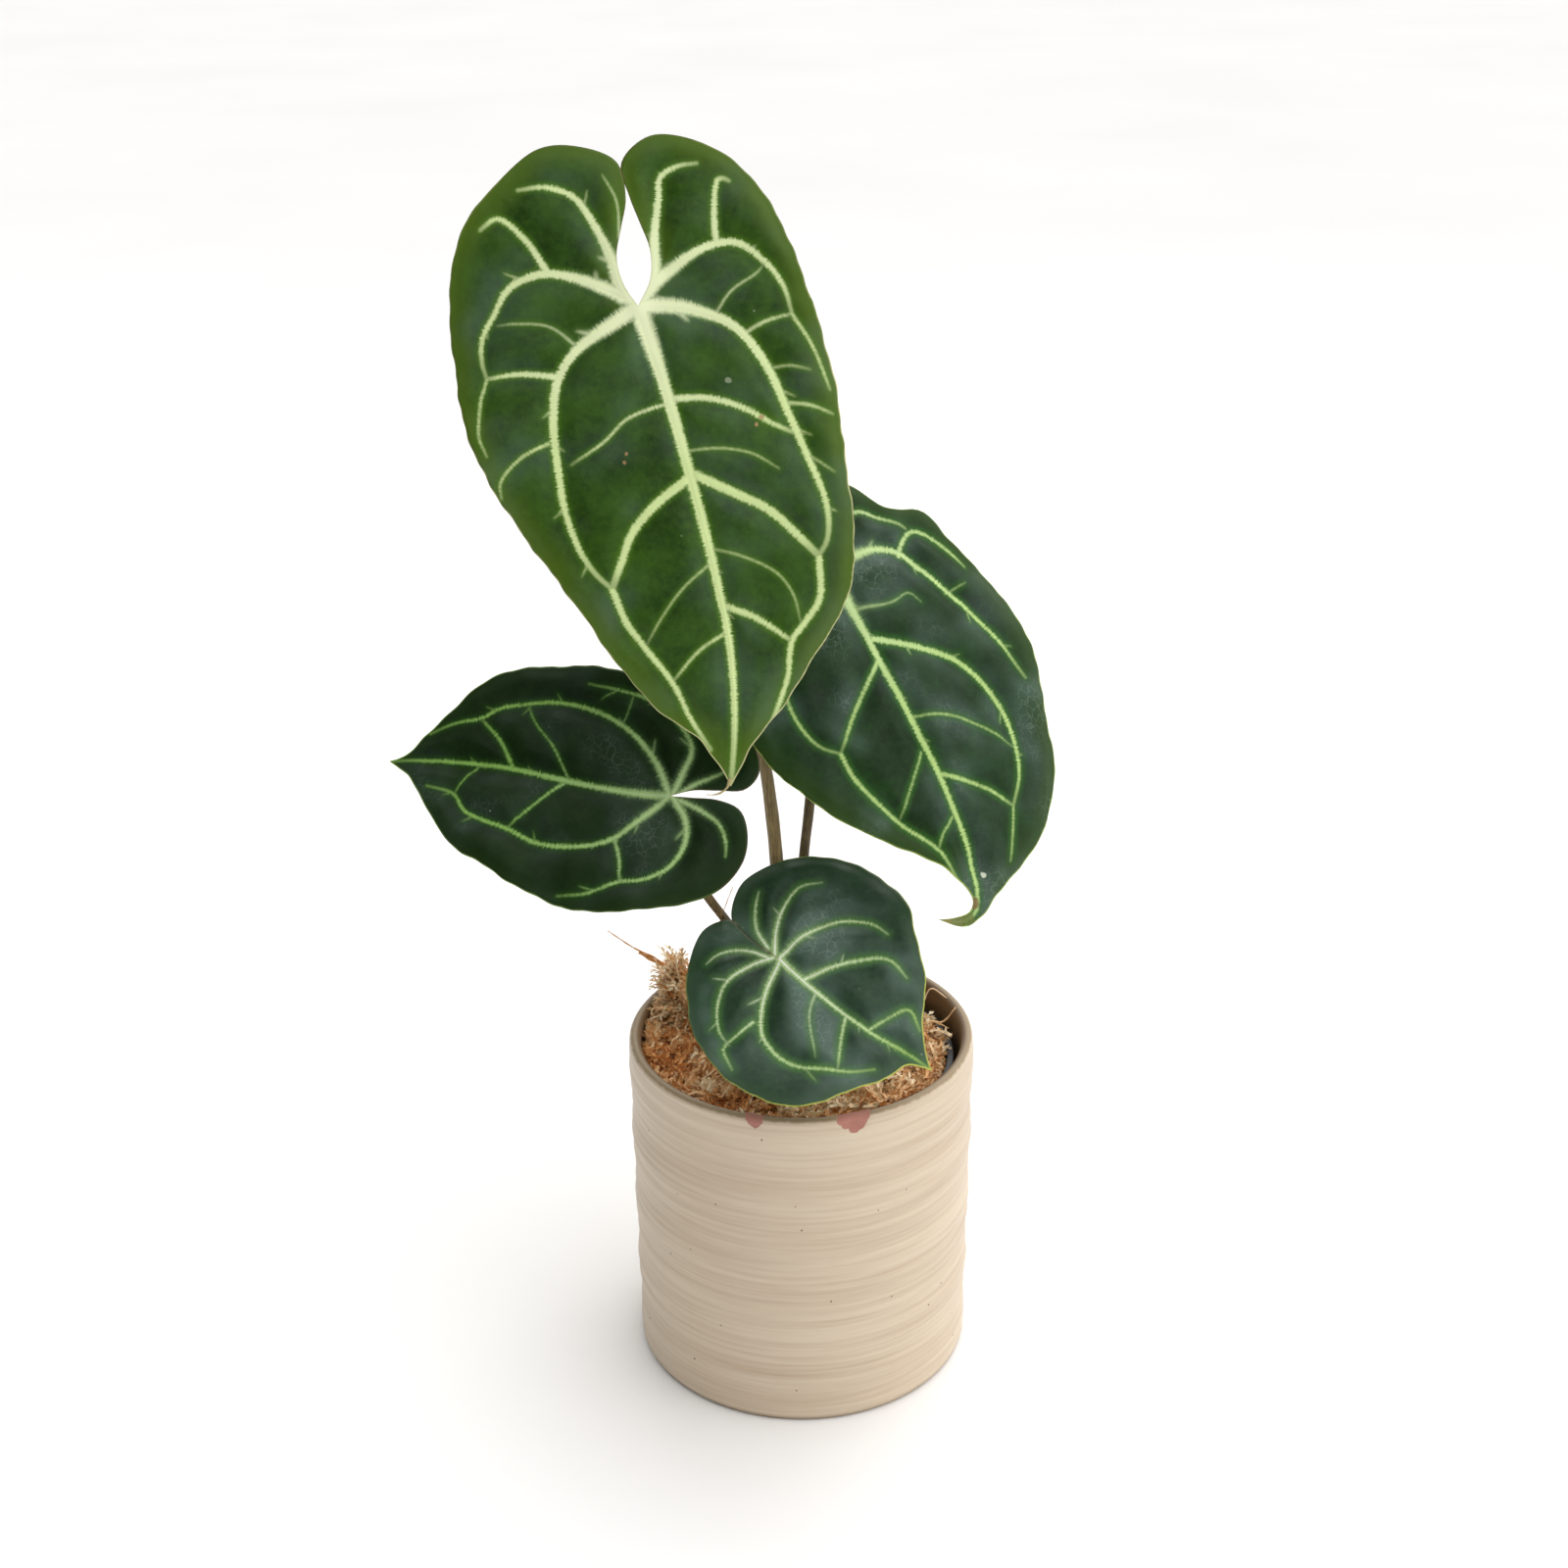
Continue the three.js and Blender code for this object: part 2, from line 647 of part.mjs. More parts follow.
function nearestOnVein(runs, place) {
  const nearest = new THREE.Vector3();
  const trial = new THREE.Vector3();
  let distance = Infinity;
  for (const run of runs) {
    run.closestPointToPoint(place, true, trial);
    const separation = trial.distanceTo(place);
    if (separation < distance) {
      distance = separation;
      nearest.copy(trial);
    }
  }
  return { nearest, distance };
}

// The flat net of one blade: rows of places from the midrib, or from the vein of a lobe, out
// to the margin. Places that fall together, as at the tip, are one. room is how far a place
// may be moved onto a vein.
function bladeNet(leaf) {
  const places = [];
  const rooms = [];
  const triangles = [];
  const known = new Map();
  const place = (point, room) => {
    const key = [point.x, point.y].map((value) => Math.round(value * PLACES_PER_MM)).join();
    if (!known.has(key)) {
      known.set(key, places.length);
      places.push(point.clone());
      rooms.push(room);
    }
    return known.get(key);
  };
  const turnOf = ([a, b, c]) => {
    const [p, q, r] = [places[a], places[b], places[c]];
    return (q.x - p.x) * (r.y - p.y) - (q.y - p.y) * (r.x - p.x);
  };
  const patch = (inner, outer, columns, snaps) => {
    const flat = (row, column) => inner[row].clone().lerp(outer[row], column / columns);
    const grid = inner.map((_, row) => Array.from({ length: columns + 1 }, (__, column) => {
      const here = flat(row, column);
      const inside = column > 0 && column < columns && row > 0 && row < inner.length - 1;
      if (!snaps || !inside) {
        return place(here, 0);
      }
      const steps = [flat(row, column + 1), flat(row - 1, column), flat(row + 1, column)];
      return place(here, SNAP * Math.min(...steps.map((other) => here.distanceTo(other))));
    }));
    const added = [];
    for (let row = 1; row < grid.length; row += 1) {
      for (let column = 1; column <= columns; column += 1) {
        const a = grid[row - 1][column - 1];
        const b = grid[row - 1][column];
        const c = grid[row][column];
        const d = grid[row][column - 1];
        added.push([a, b, c], [a, c, d]);
      }
    }
    const whole = added.filter(([a, b, c]) => a !== b && b !== c && c !== a);
    const turn = whole.reduce((sum, corners) => sum + turnOf(corners), 0);
    triangles.push(...whole.map(([a, b, c]) => (turn > 0 ? [a, c, b] : [a, b, c])));
  };
  const midribShares = evenShares(leaf.rows);
  const lobeShares = evenShares(leaf.lobeRows);
  const spine = placesBetween(flatCurve(leaf.midrib), leaf.midrib.length - 1, 0, midribShares);
  for (const side of leaf.sides) {
    const margin = flatCurve(side.margin);
    const tip = side.margin.length - 1;
    const lobe = placesBetween(
      flatCurve(side.lobeVein), 0, side.lobeVein.length - 1, lobeShares,
    );
    const flank = placesBetween(margin, tip, side.waist, midribShares);
    const shoulder = placesBetween(margin, side.waist, side.lobeEnd, lobeShares);
    const sinus = placesBetween(margin, 0, side.lobeEnd, lobeShares);
    patch(spine, flank, leaf.columns, true);
    patch(lobe, shoulder, leaf.columns, true);
    patch(lobe, sinus, leaf.sinusColumns, false);
  }
  return { places, rooms, triangles };
}

// The edges that only one triangle has, each in the direction it runs round that triangle.
function borderOf(triangles) {
  const edges = new Map();
  for (const [a, b, c] of triangles) {
    for (const [from, to] of [[a, b], [b, c], [c, a]]) {
      edges.set(`${from},${to}`, [from, to]);
    }
  }
  return [...edges.values()].filter(([from, to]) => !edges.has(`${to},${from}`));
}

// A blade as a closed skin: both faces share one splitting into triangles.
function blade(leaf) {
  const sheet = new Sheet(leaf);
  const { places, rooms, triangles } = bladeNet(leaf);
  const runs = veinRuns(leaf);
  const border = borderOf(triangles);
  const onEdge = new Set(border.flat());
  const count = places.length;
  const corners = new Float32Array(count * 6);
  places.forEach((flat, i) => {
    const { nearest, distance } = nearestOnVein(runs, flat);
    const snaps = distance < rooms[i];
    const spot = snaps ? nearest : flat;
    const away = snaps ? 0 : distance;
    const { point, normal } = sheet.at(spot.x, spot.y);
    const edge = onEdge.has(i);
    const raised = THREE.MathUtils.smoothstep(away, 0, PUCKER_WIDTH);
    const relief = edge ? 0 : THREE.MathUtils.lerp(-VEIN_SINK, PUCKER, raised);
    const rib = RIB_DEPTH * (1 - THREE.MathUtils.smoothstep(away, 0, RIB_HALF_WIDTH));
    const depth = edge ? BLADE_EDGE_THICKNESS : BLADE_THICKNESS + rib;
    const upper = point.clone().addScaledVector(normal, relief);
    const lower = upper.clone().addScaledVector(normal, -depth);
    upper.toArray(corners, i * 3);
    lower.toArray(corners, (count + i) * 3);
  });
  const index = triangles.flatMap(([a, b, c]) => [
    a, b, c, count + a, count + c, count + b,
  ]);
  for (const [a, b] of border) {
    index.push(a, count + a, count + b, a, count + b, b);
  }
  const geometry = new THREE.BufferGeometry();
  geometry.setAttribute('position', new THREE.BufferAttribute(corners, 3));
  geometry.setIndex(index);
  geometry.computeVertexNormals();
  return geometry;
}

// A leaf stalk: a tapered round bar along its route, swollen at the knee under its blade and
// trimmed flush with the blade's underside. extra makes it thicker all round, for the hole
// that it stands in.
function stalk(leaf, extra) {
  const { stalk: size } = leaf;
  const seat = new Sheet(leaf).at(0, size.radius + 1);
  const route = size.route.map((place) => new THREE.Vector3(...place));
  const rise = seat.point.clone().sub(route.at(-1)).normalize();
  const knee = seat.point.clone()
    .addScaledVector(seat.normal, -KNEE_DROP)
    .addScaledVector(rise, -KNEE_LENGTH / 2);
  const curve = new THREE.CatmullRomCurve3([...route, knee, seat.point]);
  const length = curve.getLength();
  const frames = curve.computeFrenetFrames(size.steps);
  const bar = new THREE.CylinderGeometry(1, 1, 1, STALK_SIDES, size.steps);
  const places = bar.getAttribute('position');
  for (let i = 0; i < places.count; i += 1) {
    const share = places.getY(i) + 0.5;
    const step = Math.round(share * size.steps);
    const remaining = length * (1 - share);
    const swell = THREE.MathUtils.smoothstep(remaining, 0, KNEE_LENGTH);
    const slimmed = Math.min(1, share / TAPER_END);
    const taper = THREE.MathUtils.lerp(size.baseRadius, size.radius, slimmed);
    const radius = taper * THREE.MathUtils.lerp(KNEE_SWELL, 1, swell) + extra;
    curve.getPointAt(step / size.steps)
      .addScaledVector(frames.normals[step], places.getX(i) * radius)
      .addScaledVector(frames.binormals[step], -places.getZ(i) * radius)
      .toArray(places.array, i * 3);
  }
  const depth = VEIN_SINK + BLADE_THICKNESS + RIB_DEPTH + GAP - extra;
  const trim = new THREE.BoxGeometry(TRIM_SIZE, TRIM_SIZE, TRIM_SIZE);
  trim.translate(0, 0, TRIM_SIZE / 2 - depth);
  const facing = new THREE.Vector3(0, 0, 1);
  trim.applyQuaternion(new THREE.Quaternion().setFromUnitVectors(facing, seat.normal));
  trim.translate(...seat.point);
  return solidFrom(bar).subtract(solidFrom(trim));
}

// The stem with the four stalks grown from it.
function stemWithStalks(extra) {
  let solid = solidFrom(turned([
    [0, STEM_BOTTOM - extra],
    [STEM_RADIUS * STEM_END_SHARE + extra, STEM_BOTTOM - extra],
    [STEM_RADIUS + extra, STEM_BOTTOM + STEM_ROUNDING],
    [STEM_RADIUS + extra, STEM_TOP - STEM_ROUNDING],
    [STEM_RADIUS * STEM_END_SHARE + extra, STEM_TOP + extra],
    [0, STEM_TOP + extra],
  ], STEM_SIDES).translate(...STEM_PLACE, 0));
  for (const leaf of LEAVES) {
    solid = solid.add(stalk(leaf, extra));
  }
  return solid;
}

const plant = new THREE.Group();

function addPiece(name, geometry, material) {
  const piece = new THREE.Mesh(geometry, material);
  piece.name = name;
  plant.add(piece);
}

addPiece('cachepot', cachepot(), plainMaterial(COLOURS.stoneware, 0.6));
addPiece('grow_pot', growPot(), plainMaterial(COLOURS.plastic, 0.45));
addPiece('moss', moss(stemWithStalks(GAP)), plainMaterial(COLOURS.moss, 0.95));
addPiece('stem_and_stalks', geometryFrom(stemWithStalks(0)), plainMaterial(COLOURS.stalk, 0.6));
for (const leaf of LEAVES) {
  addPiece(`blade_${leaf.name}`, blade(leaf), plainMaterial(leaf.colour, 0.5));
}

export default plant;
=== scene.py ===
"""Looks of a potted velvet-leaf anthurium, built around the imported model.

Sizes in the dataclasses are in millimetres and degrees. Meshes are written in metres, +Z up,
with the origin at the centre of the cachepot's flat base. A blade is laid out flat first:
across (x) and along (y) from the joint of its stalk, and is then lifted onto its curved sheet.
"""
import logging
import math
from collections.abc import Callable, Sequence
from dataclasses import dataclass
from enum import Enum
from functools import partial
from typing import Any

import bmesh
import bpy
import numpy as np
from bmesh.types import BMesh, BMVert
from bpy.types import Material, Mesh, Node, NodeSocket, NodeTree, Object
from mathutils import Matrix, Vector


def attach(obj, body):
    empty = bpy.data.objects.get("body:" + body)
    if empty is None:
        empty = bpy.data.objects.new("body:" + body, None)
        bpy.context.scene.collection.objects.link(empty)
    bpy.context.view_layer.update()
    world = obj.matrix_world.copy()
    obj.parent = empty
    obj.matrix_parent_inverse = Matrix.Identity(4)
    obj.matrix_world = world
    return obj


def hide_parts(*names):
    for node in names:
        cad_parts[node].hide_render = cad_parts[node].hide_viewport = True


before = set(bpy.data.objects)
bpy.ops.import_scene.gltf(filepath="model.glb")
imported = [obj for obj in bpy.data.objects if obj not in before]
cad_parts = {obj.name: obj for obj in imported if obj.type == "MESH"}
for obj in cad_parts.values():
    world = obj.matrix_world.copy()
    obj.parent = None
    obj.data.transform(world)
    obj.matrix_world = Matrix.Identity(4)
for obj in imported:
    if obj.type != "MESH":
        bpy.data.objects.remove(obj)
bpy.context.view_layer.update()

LOG = logging.getLogger("anthurium")
MM = 0.001
GOLDEN_ANGLE = math.pi * (3 - math.sqrt(5))
# Corners of a turned profile nearer than this are one.
SEAM_MM = 0.001
# The length of a straight run of vein, and what sets one vein's reading apart from the next.
VEIN_STEP_MM = 2.2
VEIN_APART_MM = 20
# How far apart the patterns of a blade's two faces are read.
PATTERN_SHIFT_MM = 50.0
# The radius of the moss that loose strands lie on.
STRAND_BED_MM = 56.5
# Settings that many shader nodes share.
SMOOTH = {"interpolation_type": "SMOOTHSTEP"}
COLOUR = {"data_type": "RGBA"}

Flat = tuple[float, float]
Place = tuple[float, float, float]
# add_node, with its node tree already given.
Adder = Callable[..., Any]


# Shared helpers


def linear(code: str) -> tuple[float, float, float, float]:
    """Turn an sRGB hex colour into linear red, green and blue, with an alpha of 1.

    Args:
        code: Six hex digits.

    Returns:
        The four linear components.
    """
    parts = [int(code[i : i + 2], 16) / 255 for i in (0, 2, 4)]
    red, green, blue = (p / 12.92 if p <= 0.04045 else ((p + 0.055) / 1.055) ** 2.4 for p in parts)
    return red, green, blue, 1.0


def plug(socket: NodeSocket, value: Any) -> None:
    """Feed an input from an output socket, or set it to a number or an sRGB hex colour.

    Args:
        socket: The input.
        value: What feeds it.
    """
    if isinstance(value, NodeSocket):
        socket.id_data.links.new(value, socket)
    else:
        socket.default_value = linear(value) if isinstance(value, str) else value


def add_node(
    tree: NodeTree,
    kind: str,
    inputs: Sequence[Any] | dict[str, Any] = (),
    stops: Sequence[tuple[float, str]] = (),
    out: str | None = None,
    **settings: Any,
) -> NodeSocket | None:
    """Add one shader node with its settings, and set or link its inputs.

    Args:
        tree: The material's or world's node tree.
        kind: The node's Blender type name, without its first word, ShaderNode.
        inputs: Values, sRGB hex colours or output sockets, by the input's name or in the order
            of the inputs that the settings leave in use.
        stops: Places and sRGB hex colours of a colour ramp.
        out: The output wanted back, by name, where it isn't the first one in use.
        settings: Properties of the node.

    Returns:
        The output, or None for a node without any.
    """
    made = tree.nodes.new(f"ShaderNode{kind}")
    for name, value in settings.items():
        setattr(made, name, value)
    if isinstance(inputs, dict):
        pairs = [(made.inputs[name], value) for name, value in inputs.items()]
    else:
        pairs = list(zip((socket for socket in made.inputs if socket.enabled), inputs))
    for socket, value in pairs:
        plug(socket, value)
    if stops:
        ramp = made.color_ramp.elements
        while len(ramp) < len(stops):
            ramp.new(0.5)
        for element, (place, code) in zip(ramp, stops):
            element.position = place
            element.color = linear(code)
    if out:
        return made.outputs[out]
    return next((socket for socket in made.outputs if socket.enabled), None)


def smoothstep(value: np.ndarray, low: float, high: float) -> np.ndarray:
    """Rise smoothly from 0 at low to 1 at high.

    Args:
        value: Where to read the step.
        low: Where the rise starts.
        high: Where the rise ends.

    Returns:
        The step at each value.
    """
    share = np.clip((value - low) / (high - low), 0, 1)
    return share * share * (3 - 2 * share)


def places_of(mesh: Mesh) -> np.ndarray:
    """Read a mesh's vertices.

    Args:
        mesh: The mesh.

    Returns:
        Its vertices as rows of x, y and z.
    """
    flat = np.empty(len(mesh.vertices) * 3, np.float32)
    mesh.vertices.foreach_get("co", flat)
    return flat.reshape(-1, 3).astype(float)


def move_vertices(mesh: Mesh, places: np.ndarray) -> None:
    """Put a mesh's vertices at new places, given in metres."""
    mesh.vertices.foreach_set("co", places.astype(np.float32).ravel())
    mesh.update()


def write_attribute(mesh: Mesh, name: str, values: np.ndarray) -> None:
    """Keep a number, or a row of three, for each vertex, for the materials to read.

    Args:
        mesh: The mesh that gets the attribute.
        name: The attribute's name.
        values: One number or row for each vertex.
    """
    kind, key = ("FLOAT", "value") if values.ndim == 1 else ("FLOAT_VECTOR", "vector")
    if name in mesh.attributes:
        mesh.attributes.remove(mesh.attributes[name])
    attribute = mesh.attributes.new(name, kind, "POINT")
    attribute.data.foreach_set(key, values.astype(np.float32).ravel())


def spin_round(bm: BMesh, geom: list[Any], steps: int) -> None:
    """Turn a profile once round the upright axis and merge its seam.

    Args:
        bm: The bmesh that holds the profile.
        geom: The profile's vertices and edges.
        steps: The number of steps in the turn.
    """
    bmesh.ops.spin(
        bm, geom=geom, axis=(0, 0, 1), cent=(0, 0, 0), angle=2 * math.pi, steps=steps,
        use_merge=True,
    )
    bmesh.ops.remove_doubles(bm, verts=bm.verts, dist=SEAM_MM)


def mesh_from(bm: BMesh, name: str, scale: float = 1.0) -> Mesh:
    """Turn a bmesh into a smooth-shaded mesh and free it.

    Args:
        bm: The finished bmesh.
        name: The mesh's name.
        scale: What its measures are multiplied by.

    Returns:
        The mesh.
    """
    if scale != 1.0:
        bmesh.ops.scale(bm, vec=(scale, scale, scale), verts=bm.verts)
    for face in bm.faces:
        face.smooth = True
    mesh = bpy.data.meshes.new(name)
    bm.to_mesh(mesh)
    bm.free()
    return mesh


def place_piece(
    mesh: Mesh,
    materials: Sequence[Material],
    node: str | None = None,
) -> Object:
    """Put a finished mesh in the scene, riding on the plant's one body.

    Args:
        mesh: The mesh, named as the piece is.
        materials: Its finishes, in the order of its material numbers.
        node: The CAD node that it stands for, if any.

    Returns:
        The piece's object.
    """
    piece = bpy.data.objects.new(mesh.name, mesh)
    bpy.context.scene.collection.objects.link(piece)
    for material in materials:
        mesh.materials.append(material)
    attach(piece, "root")
    if node:
        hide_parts(node)
    LOG.info("%s: %d faces", mesh.name, len(mesh.polygons))
    return piece


class SmoothCurve:
    """A centripetal curve through a list of points, flat or in space."""

    def __init__(self, points: Sequence[Sequence[float]]) -> None:
        """Keep the points, with one more past each end."""
        inner = np.array(points, float)
        self.last = len(inner) - 1
        before = 2 * inner[0] - inner[1]
        after = 2 * inner[-1] - inner[-2]
        self.knots = np.vstack([before, inner, after])

    def at(self, count: np.ndarray) -> np.ndarray:
        """Read the curve at places counted in points, 0 at the first.

        Args:
            count: Where to read it.

        Returns:
            One row for each place.
        """
        index = np.clip(np.floor(count).astype(int), 0, self.last - 1)
        share = (count - index)[:, None]
        a, b, c, d = (self.knots[index + step] for step in range(4))
        gaps = []
        for start, end in ((a, b), (b, c), (c, d)):
            gaps.append(np.maximum(np.sum((end - start) ** 2, 1) ** 0.25, 1e-4)[:, None])
        before, here, after = gaps
        leave = ((b - a) / before - (c - a) / (before + here) + (c - b) / here) * here
        arrive = ((c - b) / here - (d - b) / (here + after) + (d - c) / after) * here
        square = -3 * b + 3 * c - 2 * leave - arrive
        cube = 2 * b - 2 * c + leave + arrive
        return b + leave * share + square * share**2 + cube * share**3

    def between(self, start: float, end: float, shares: np.ndarray) -> np.ndarray:
        """Read the curve at shares of its length between two of its points.

        Args:
            start: Count of the point where share 0 is.
            end: Count of the point where share 1 is.
            shares: Where to read it.

        Returns:
            One row for each share.
        """
        trail = self.at(np.linspace(start, end, 400))
        steps = np.linalg.norm(np.diff(trail, axis=0), axis=1)
        length = np.concatenate([[0], np.cumsum(steps)])
        wanted = np.clip(shares, 0, 1) * length[-1]
        return np.stack([np.interp(wanted, length, column) for column in trail.T], axis=1)

    def length(self) -> float:
        """Measure the whole curve."""
        trail = self.at(np.linspace(0, self.last, 400))
        return float(np.linalg.norm(np.diff(trail, axis=0), axis=1).sum())


def sweep(
    bm: BMesh, trail: np.ndarray, radii: np.ndarray, sides: int
) -> list[BMVert]:
    """Add a closed round bar that follows a trail.

    Args:
        bm: The bmesh that gets the bar. Its vertices keep "ring", the share of the way along,
            and "turn", the share of the way round, where it has those layers.
        trail: The middle of the bar at each ring.
        radii: The radius at each ring.
        sides: How many sides the bar has.

    Returns:
        The bar's vertices.
    """
    last = len(trail) - 1
    tangents = [Vector(step).normalized() for step in np.gradient(trail, axis=0)]
    frames = [tangents[0].to_track_quat("Z", "Y").to_matrix()]
    for before, after in zip(tangents, tangents[1:]):
        frames.append(before.rotation_difference(after).to_matrix() @ frames[-1])
    ring_layer = bm.verts.layers.float.get("ring")
    turn_layer = bm.verts.layers.float.get("turn")
    made = bmesh.ops.create_grid(bm, x_segments=sides, y_segments=last, size=1)["verts"]
    for corner in made:
        turn = (corner.co.x + 1) / 2
        number = round((corner.co.y + 1) / 2 * last)
        if ring_layer:
            corner[ring_layer] = number / last
            corner[turn_layer] = turn
        angle = 2 * math.pi * turn
        spoke = Vector((math.cos(angle), math.sin(angle), 0)) * float(radii[number])
        corner.co = Vector(trail[number]) + frames[number] @ spoke
    bmesh.ops.remove_doubles(bm, verts=made, dist=float(min(radii)) * 0.01)
    rest = [corner for corner in made if corner.is_valid]
    rims = {edge for corner in rest for edge in corner.link_edges if edge.is_boundary}
    bmesh.ops.holes_fill(bm, edges=list(rims), sides=0)
    faces = {face for corner in rest for face in corner.link_faces}
    bmesh.ops.recalc_face_normals(bm, faces=list(faces))
    return rest


# Finishes


@dataclass(frozen=True)
class Finish:
    """What one kind of surface is made of and how it catches the light."""

    name: str
    roughness: float
    ior: float = 1.45

    def begin(self) -> tuple[Material, Adder, Node]:
        """Start the material with its shader.

        Returns:
            The material, add_node for its node tree, and its shader node.
        """
        material = bpy.data.materials.new(self.name)
        material.use_nodes = True
        material.node_tree.nodes.clear()
        add = partial(add_node, material.node_tree)
        shader = add("BsdfPrincipled", {"Roughness": self.roughness, "IOR": self.ior})
        add("OutputMaterial", {"Surface": shader})
        return material, add, shader.node


class Reading(Enum):
    """The numbers that a blade keeps at each vertex for its finishes."""

    FLAT = "flat"
    VEIN_EDGE = "vein_edge"
    VEIN_RUN = "vein_run"
    VEIN_PALE = "vein_pale"
    VEIN_MIDDLE = "vein_middle"
    MARGIN = "margin"
    SINUS = "sinus"


@dataclass(frozen=True)
class Scar:
    """A small healed or dried spot on a blade: its flat place, radius and colour."""

    place: Flat
    radius: float
    colour: str = "8a6244"


@dataclass(frozen=True)
class LeafFinish(Finish):
    """Leathery leaf skin with pale feathered veins, drawn from the blade's own readings."""

    deep: str = "1f3a1a"
    mid: str = "2c4a22"
    rim: str = "45591f"
    halo: str = "4c7a2c"
    vein: str = "cfe59c"
    joint: str = "dfe9b0"
    border: str = "b9c46a"
    rim_width: float = 14.0
    # Strength of the painted grey-blue sheen laid over the green.
    painted_sheen: float = 0.2
    scuffs: float = 0.0
    feather: float = 1.8
    glow: float = 0.7
    glow_reach: float = 2.4
    centre_line: float = 0.15
    joint_fog: float = 2.3
    joint_white: float = 0.8
    scars: tuple[Scar, ...] = ()
    specular: float = 0.25
    bump: float = 0.25
    seed: float = 0.0

    def reading(self, add: Adder, which: Reading) -> NodeSocket:
        """Read one of the blade's numbers.

        Args:
            add: add_node for the material.
            which: The reading.

        Returns:
            The socket with its value.
        """
        out = "Vector" if which is Reading.FLAT else "Fac"
        return add("Attribute", out=out, attribute_name=which.value)

    def vein_masks(self, add: Adder, flat: NodeSocket) -> tuple[NodeSocket, NodeSocket]:
        """Draw the veins, their edges frayed into fibres that run square to them.

        Args:
            add: add_node for the material.
            flat: The flat place on the blade.

        Returns:
            How pale the surface is, and how near to a vein it is.
        """
        edge = self.reading(add, Reading.VEIN_EDGE)
        run = self.reading(add, Reading.VEIN_RUN)
        # Fibres about 1 mm apart, square to the vein.
        fibre = add(
            "TexNoise", {"W": run, "Scale": 1.4, "Detail": 3.0, "Roughness": 0.75},
            noise_dimensions="1D",
        )
        grain = add(
            "TexNoise",
            {"Vector": flat, "W": self.seed, "Scale": 0.8, "Detail": 3.0, "Roughness": 0.65},
            noise_dimensions="4D",
        )
        both = add("Math", [fibre, grain], operation="ADD")
        frayed = add("Math", [both, -self.feather, self.feather], operation="MULTIPLY_ADD")
        # Thin veins fray less than broad ones.
        strength = self.reading(add, Reading.VEIN_PALE)
        breadth = add("MapRange", [strength, 0.7, 1.0, 0.25])
        rough_edge = add("Math", [frayed, breadth, edge], operation="MULTIPLY_ADD")
        # The pale band frays out twice as wide within 30 mm of the joint.
        away = add("VectorMath", [flat], operation="LENGTH")
        fog = add("MapRange", [away, 3.0, 32.0, self.joint_fog, 0.75], **SMOOTH)
        pale = add("MapRange", [rough_edge, -0.5, fog, 1.0, 0.0], **SMOOTH)
        drawn = add("Math", [pale, strength], operation="MULTIPLY")
        near = add("MapRange", [rough_edge, 0.0, self.glow_reach, 1.0, 0.0], **SMOOTH)
        nearby = add("Math", [near, strength], operation="MULTIPLY")
        return drawn, nearby

    def lamina(self, add: Adder, flat: NodeSocket) -> NodeSocket:
        """Colour the green between the veins: clouded, mottled and browner at the rim.

        Args:
            add: add_node for the material.
            flat: The flat place on the blade.

        Returns:
            The colour.
        """
        # Clouds about 20 mm across, as where the young leaf greened unevenly.
        cloud = add(
            "TexNoise",
            {"Vector": flat, "W": self.seed, "Scale": 0.05, "Detail": 3.0, "Roughness": 0.6},
            noise_dimensions="4D",
        )
        # Mottling about 2 mm across, from the cells between the smallest veins.
        mottle = add(
            "TexNoise",
            {"Vector": flat, "W": self.seed, "Scale": 0.45, "Detail": 4.0, "Roughness": 0.65},
            noise_dimensions="4D",
        )
        mixed = add("Math", [mottle, 0.6, cloud], operation="MULTIPLY_ADD")
        green = add("ValToRGB", {"Fac": mixed}, stops=((0.6, self.deep), (1.02, self.mid)))
        # The rim's own tone fades in over rim_width from the margin.
        margin = self.reading(add, Reading.MARGIN)
        reach = add("Math", [cloud, self.rim_width, margin], operation="MULTIPLY_ADD")
        rim = add(
            "MapRange", [reach, 0.3 * self.rim_width, 1.6 * self.rim_width, 0.85, 0.0], **SMOOTH
        )
        return add("Mix", [rim, green, self.rim], **COLOUR)

    def marks(self, add: Adder, flat: NodeSocket, colour: NodeSocket) -> NodeSocket:
        """Add the painted sheen, the fine scratches and the small pale specks.

        Args:
            add: add_node for the material.
            flat: The flat place on the blade.
            colour: The colour beneath them.

        Returns:
            The marked colour.
        """
        # Clouds about 30 mm across that place the painted sheen and the scuffed patches.
        sheen_and_scuff_noise = add(
            "TexNoise",
            {
                "Vector": flat, "W": self.seed + 3.0, "Scale": 0.032, "Detail": 2.0,
                "Roughness": 0.5,
            },
            noise_dimensions="4D",
        )
        spread = add("MapRange", [sheen_and_scuff_noise, 0.4, 0.7, 0.0, self.painted_sheen], **SMOOTH)
        # The painted grey-blue sheen lies thickest on the shoulders of each field, beside the
        # veins.
        middle = add(
            "MapRange", [self.reading(add, Reading.VEIN_MIDDLE), 3.0, 13.0, 1.0, 0.2], **SMOOTH
        )
        # Painted sheen: grey-blue mixed over the green in place of the lamina's shine.
        dust = add("Math", [spread, middle], operation="MULTIPLY")
        sheened = add("Mix", [dust, colour, "6b8078"], **COLOUR)
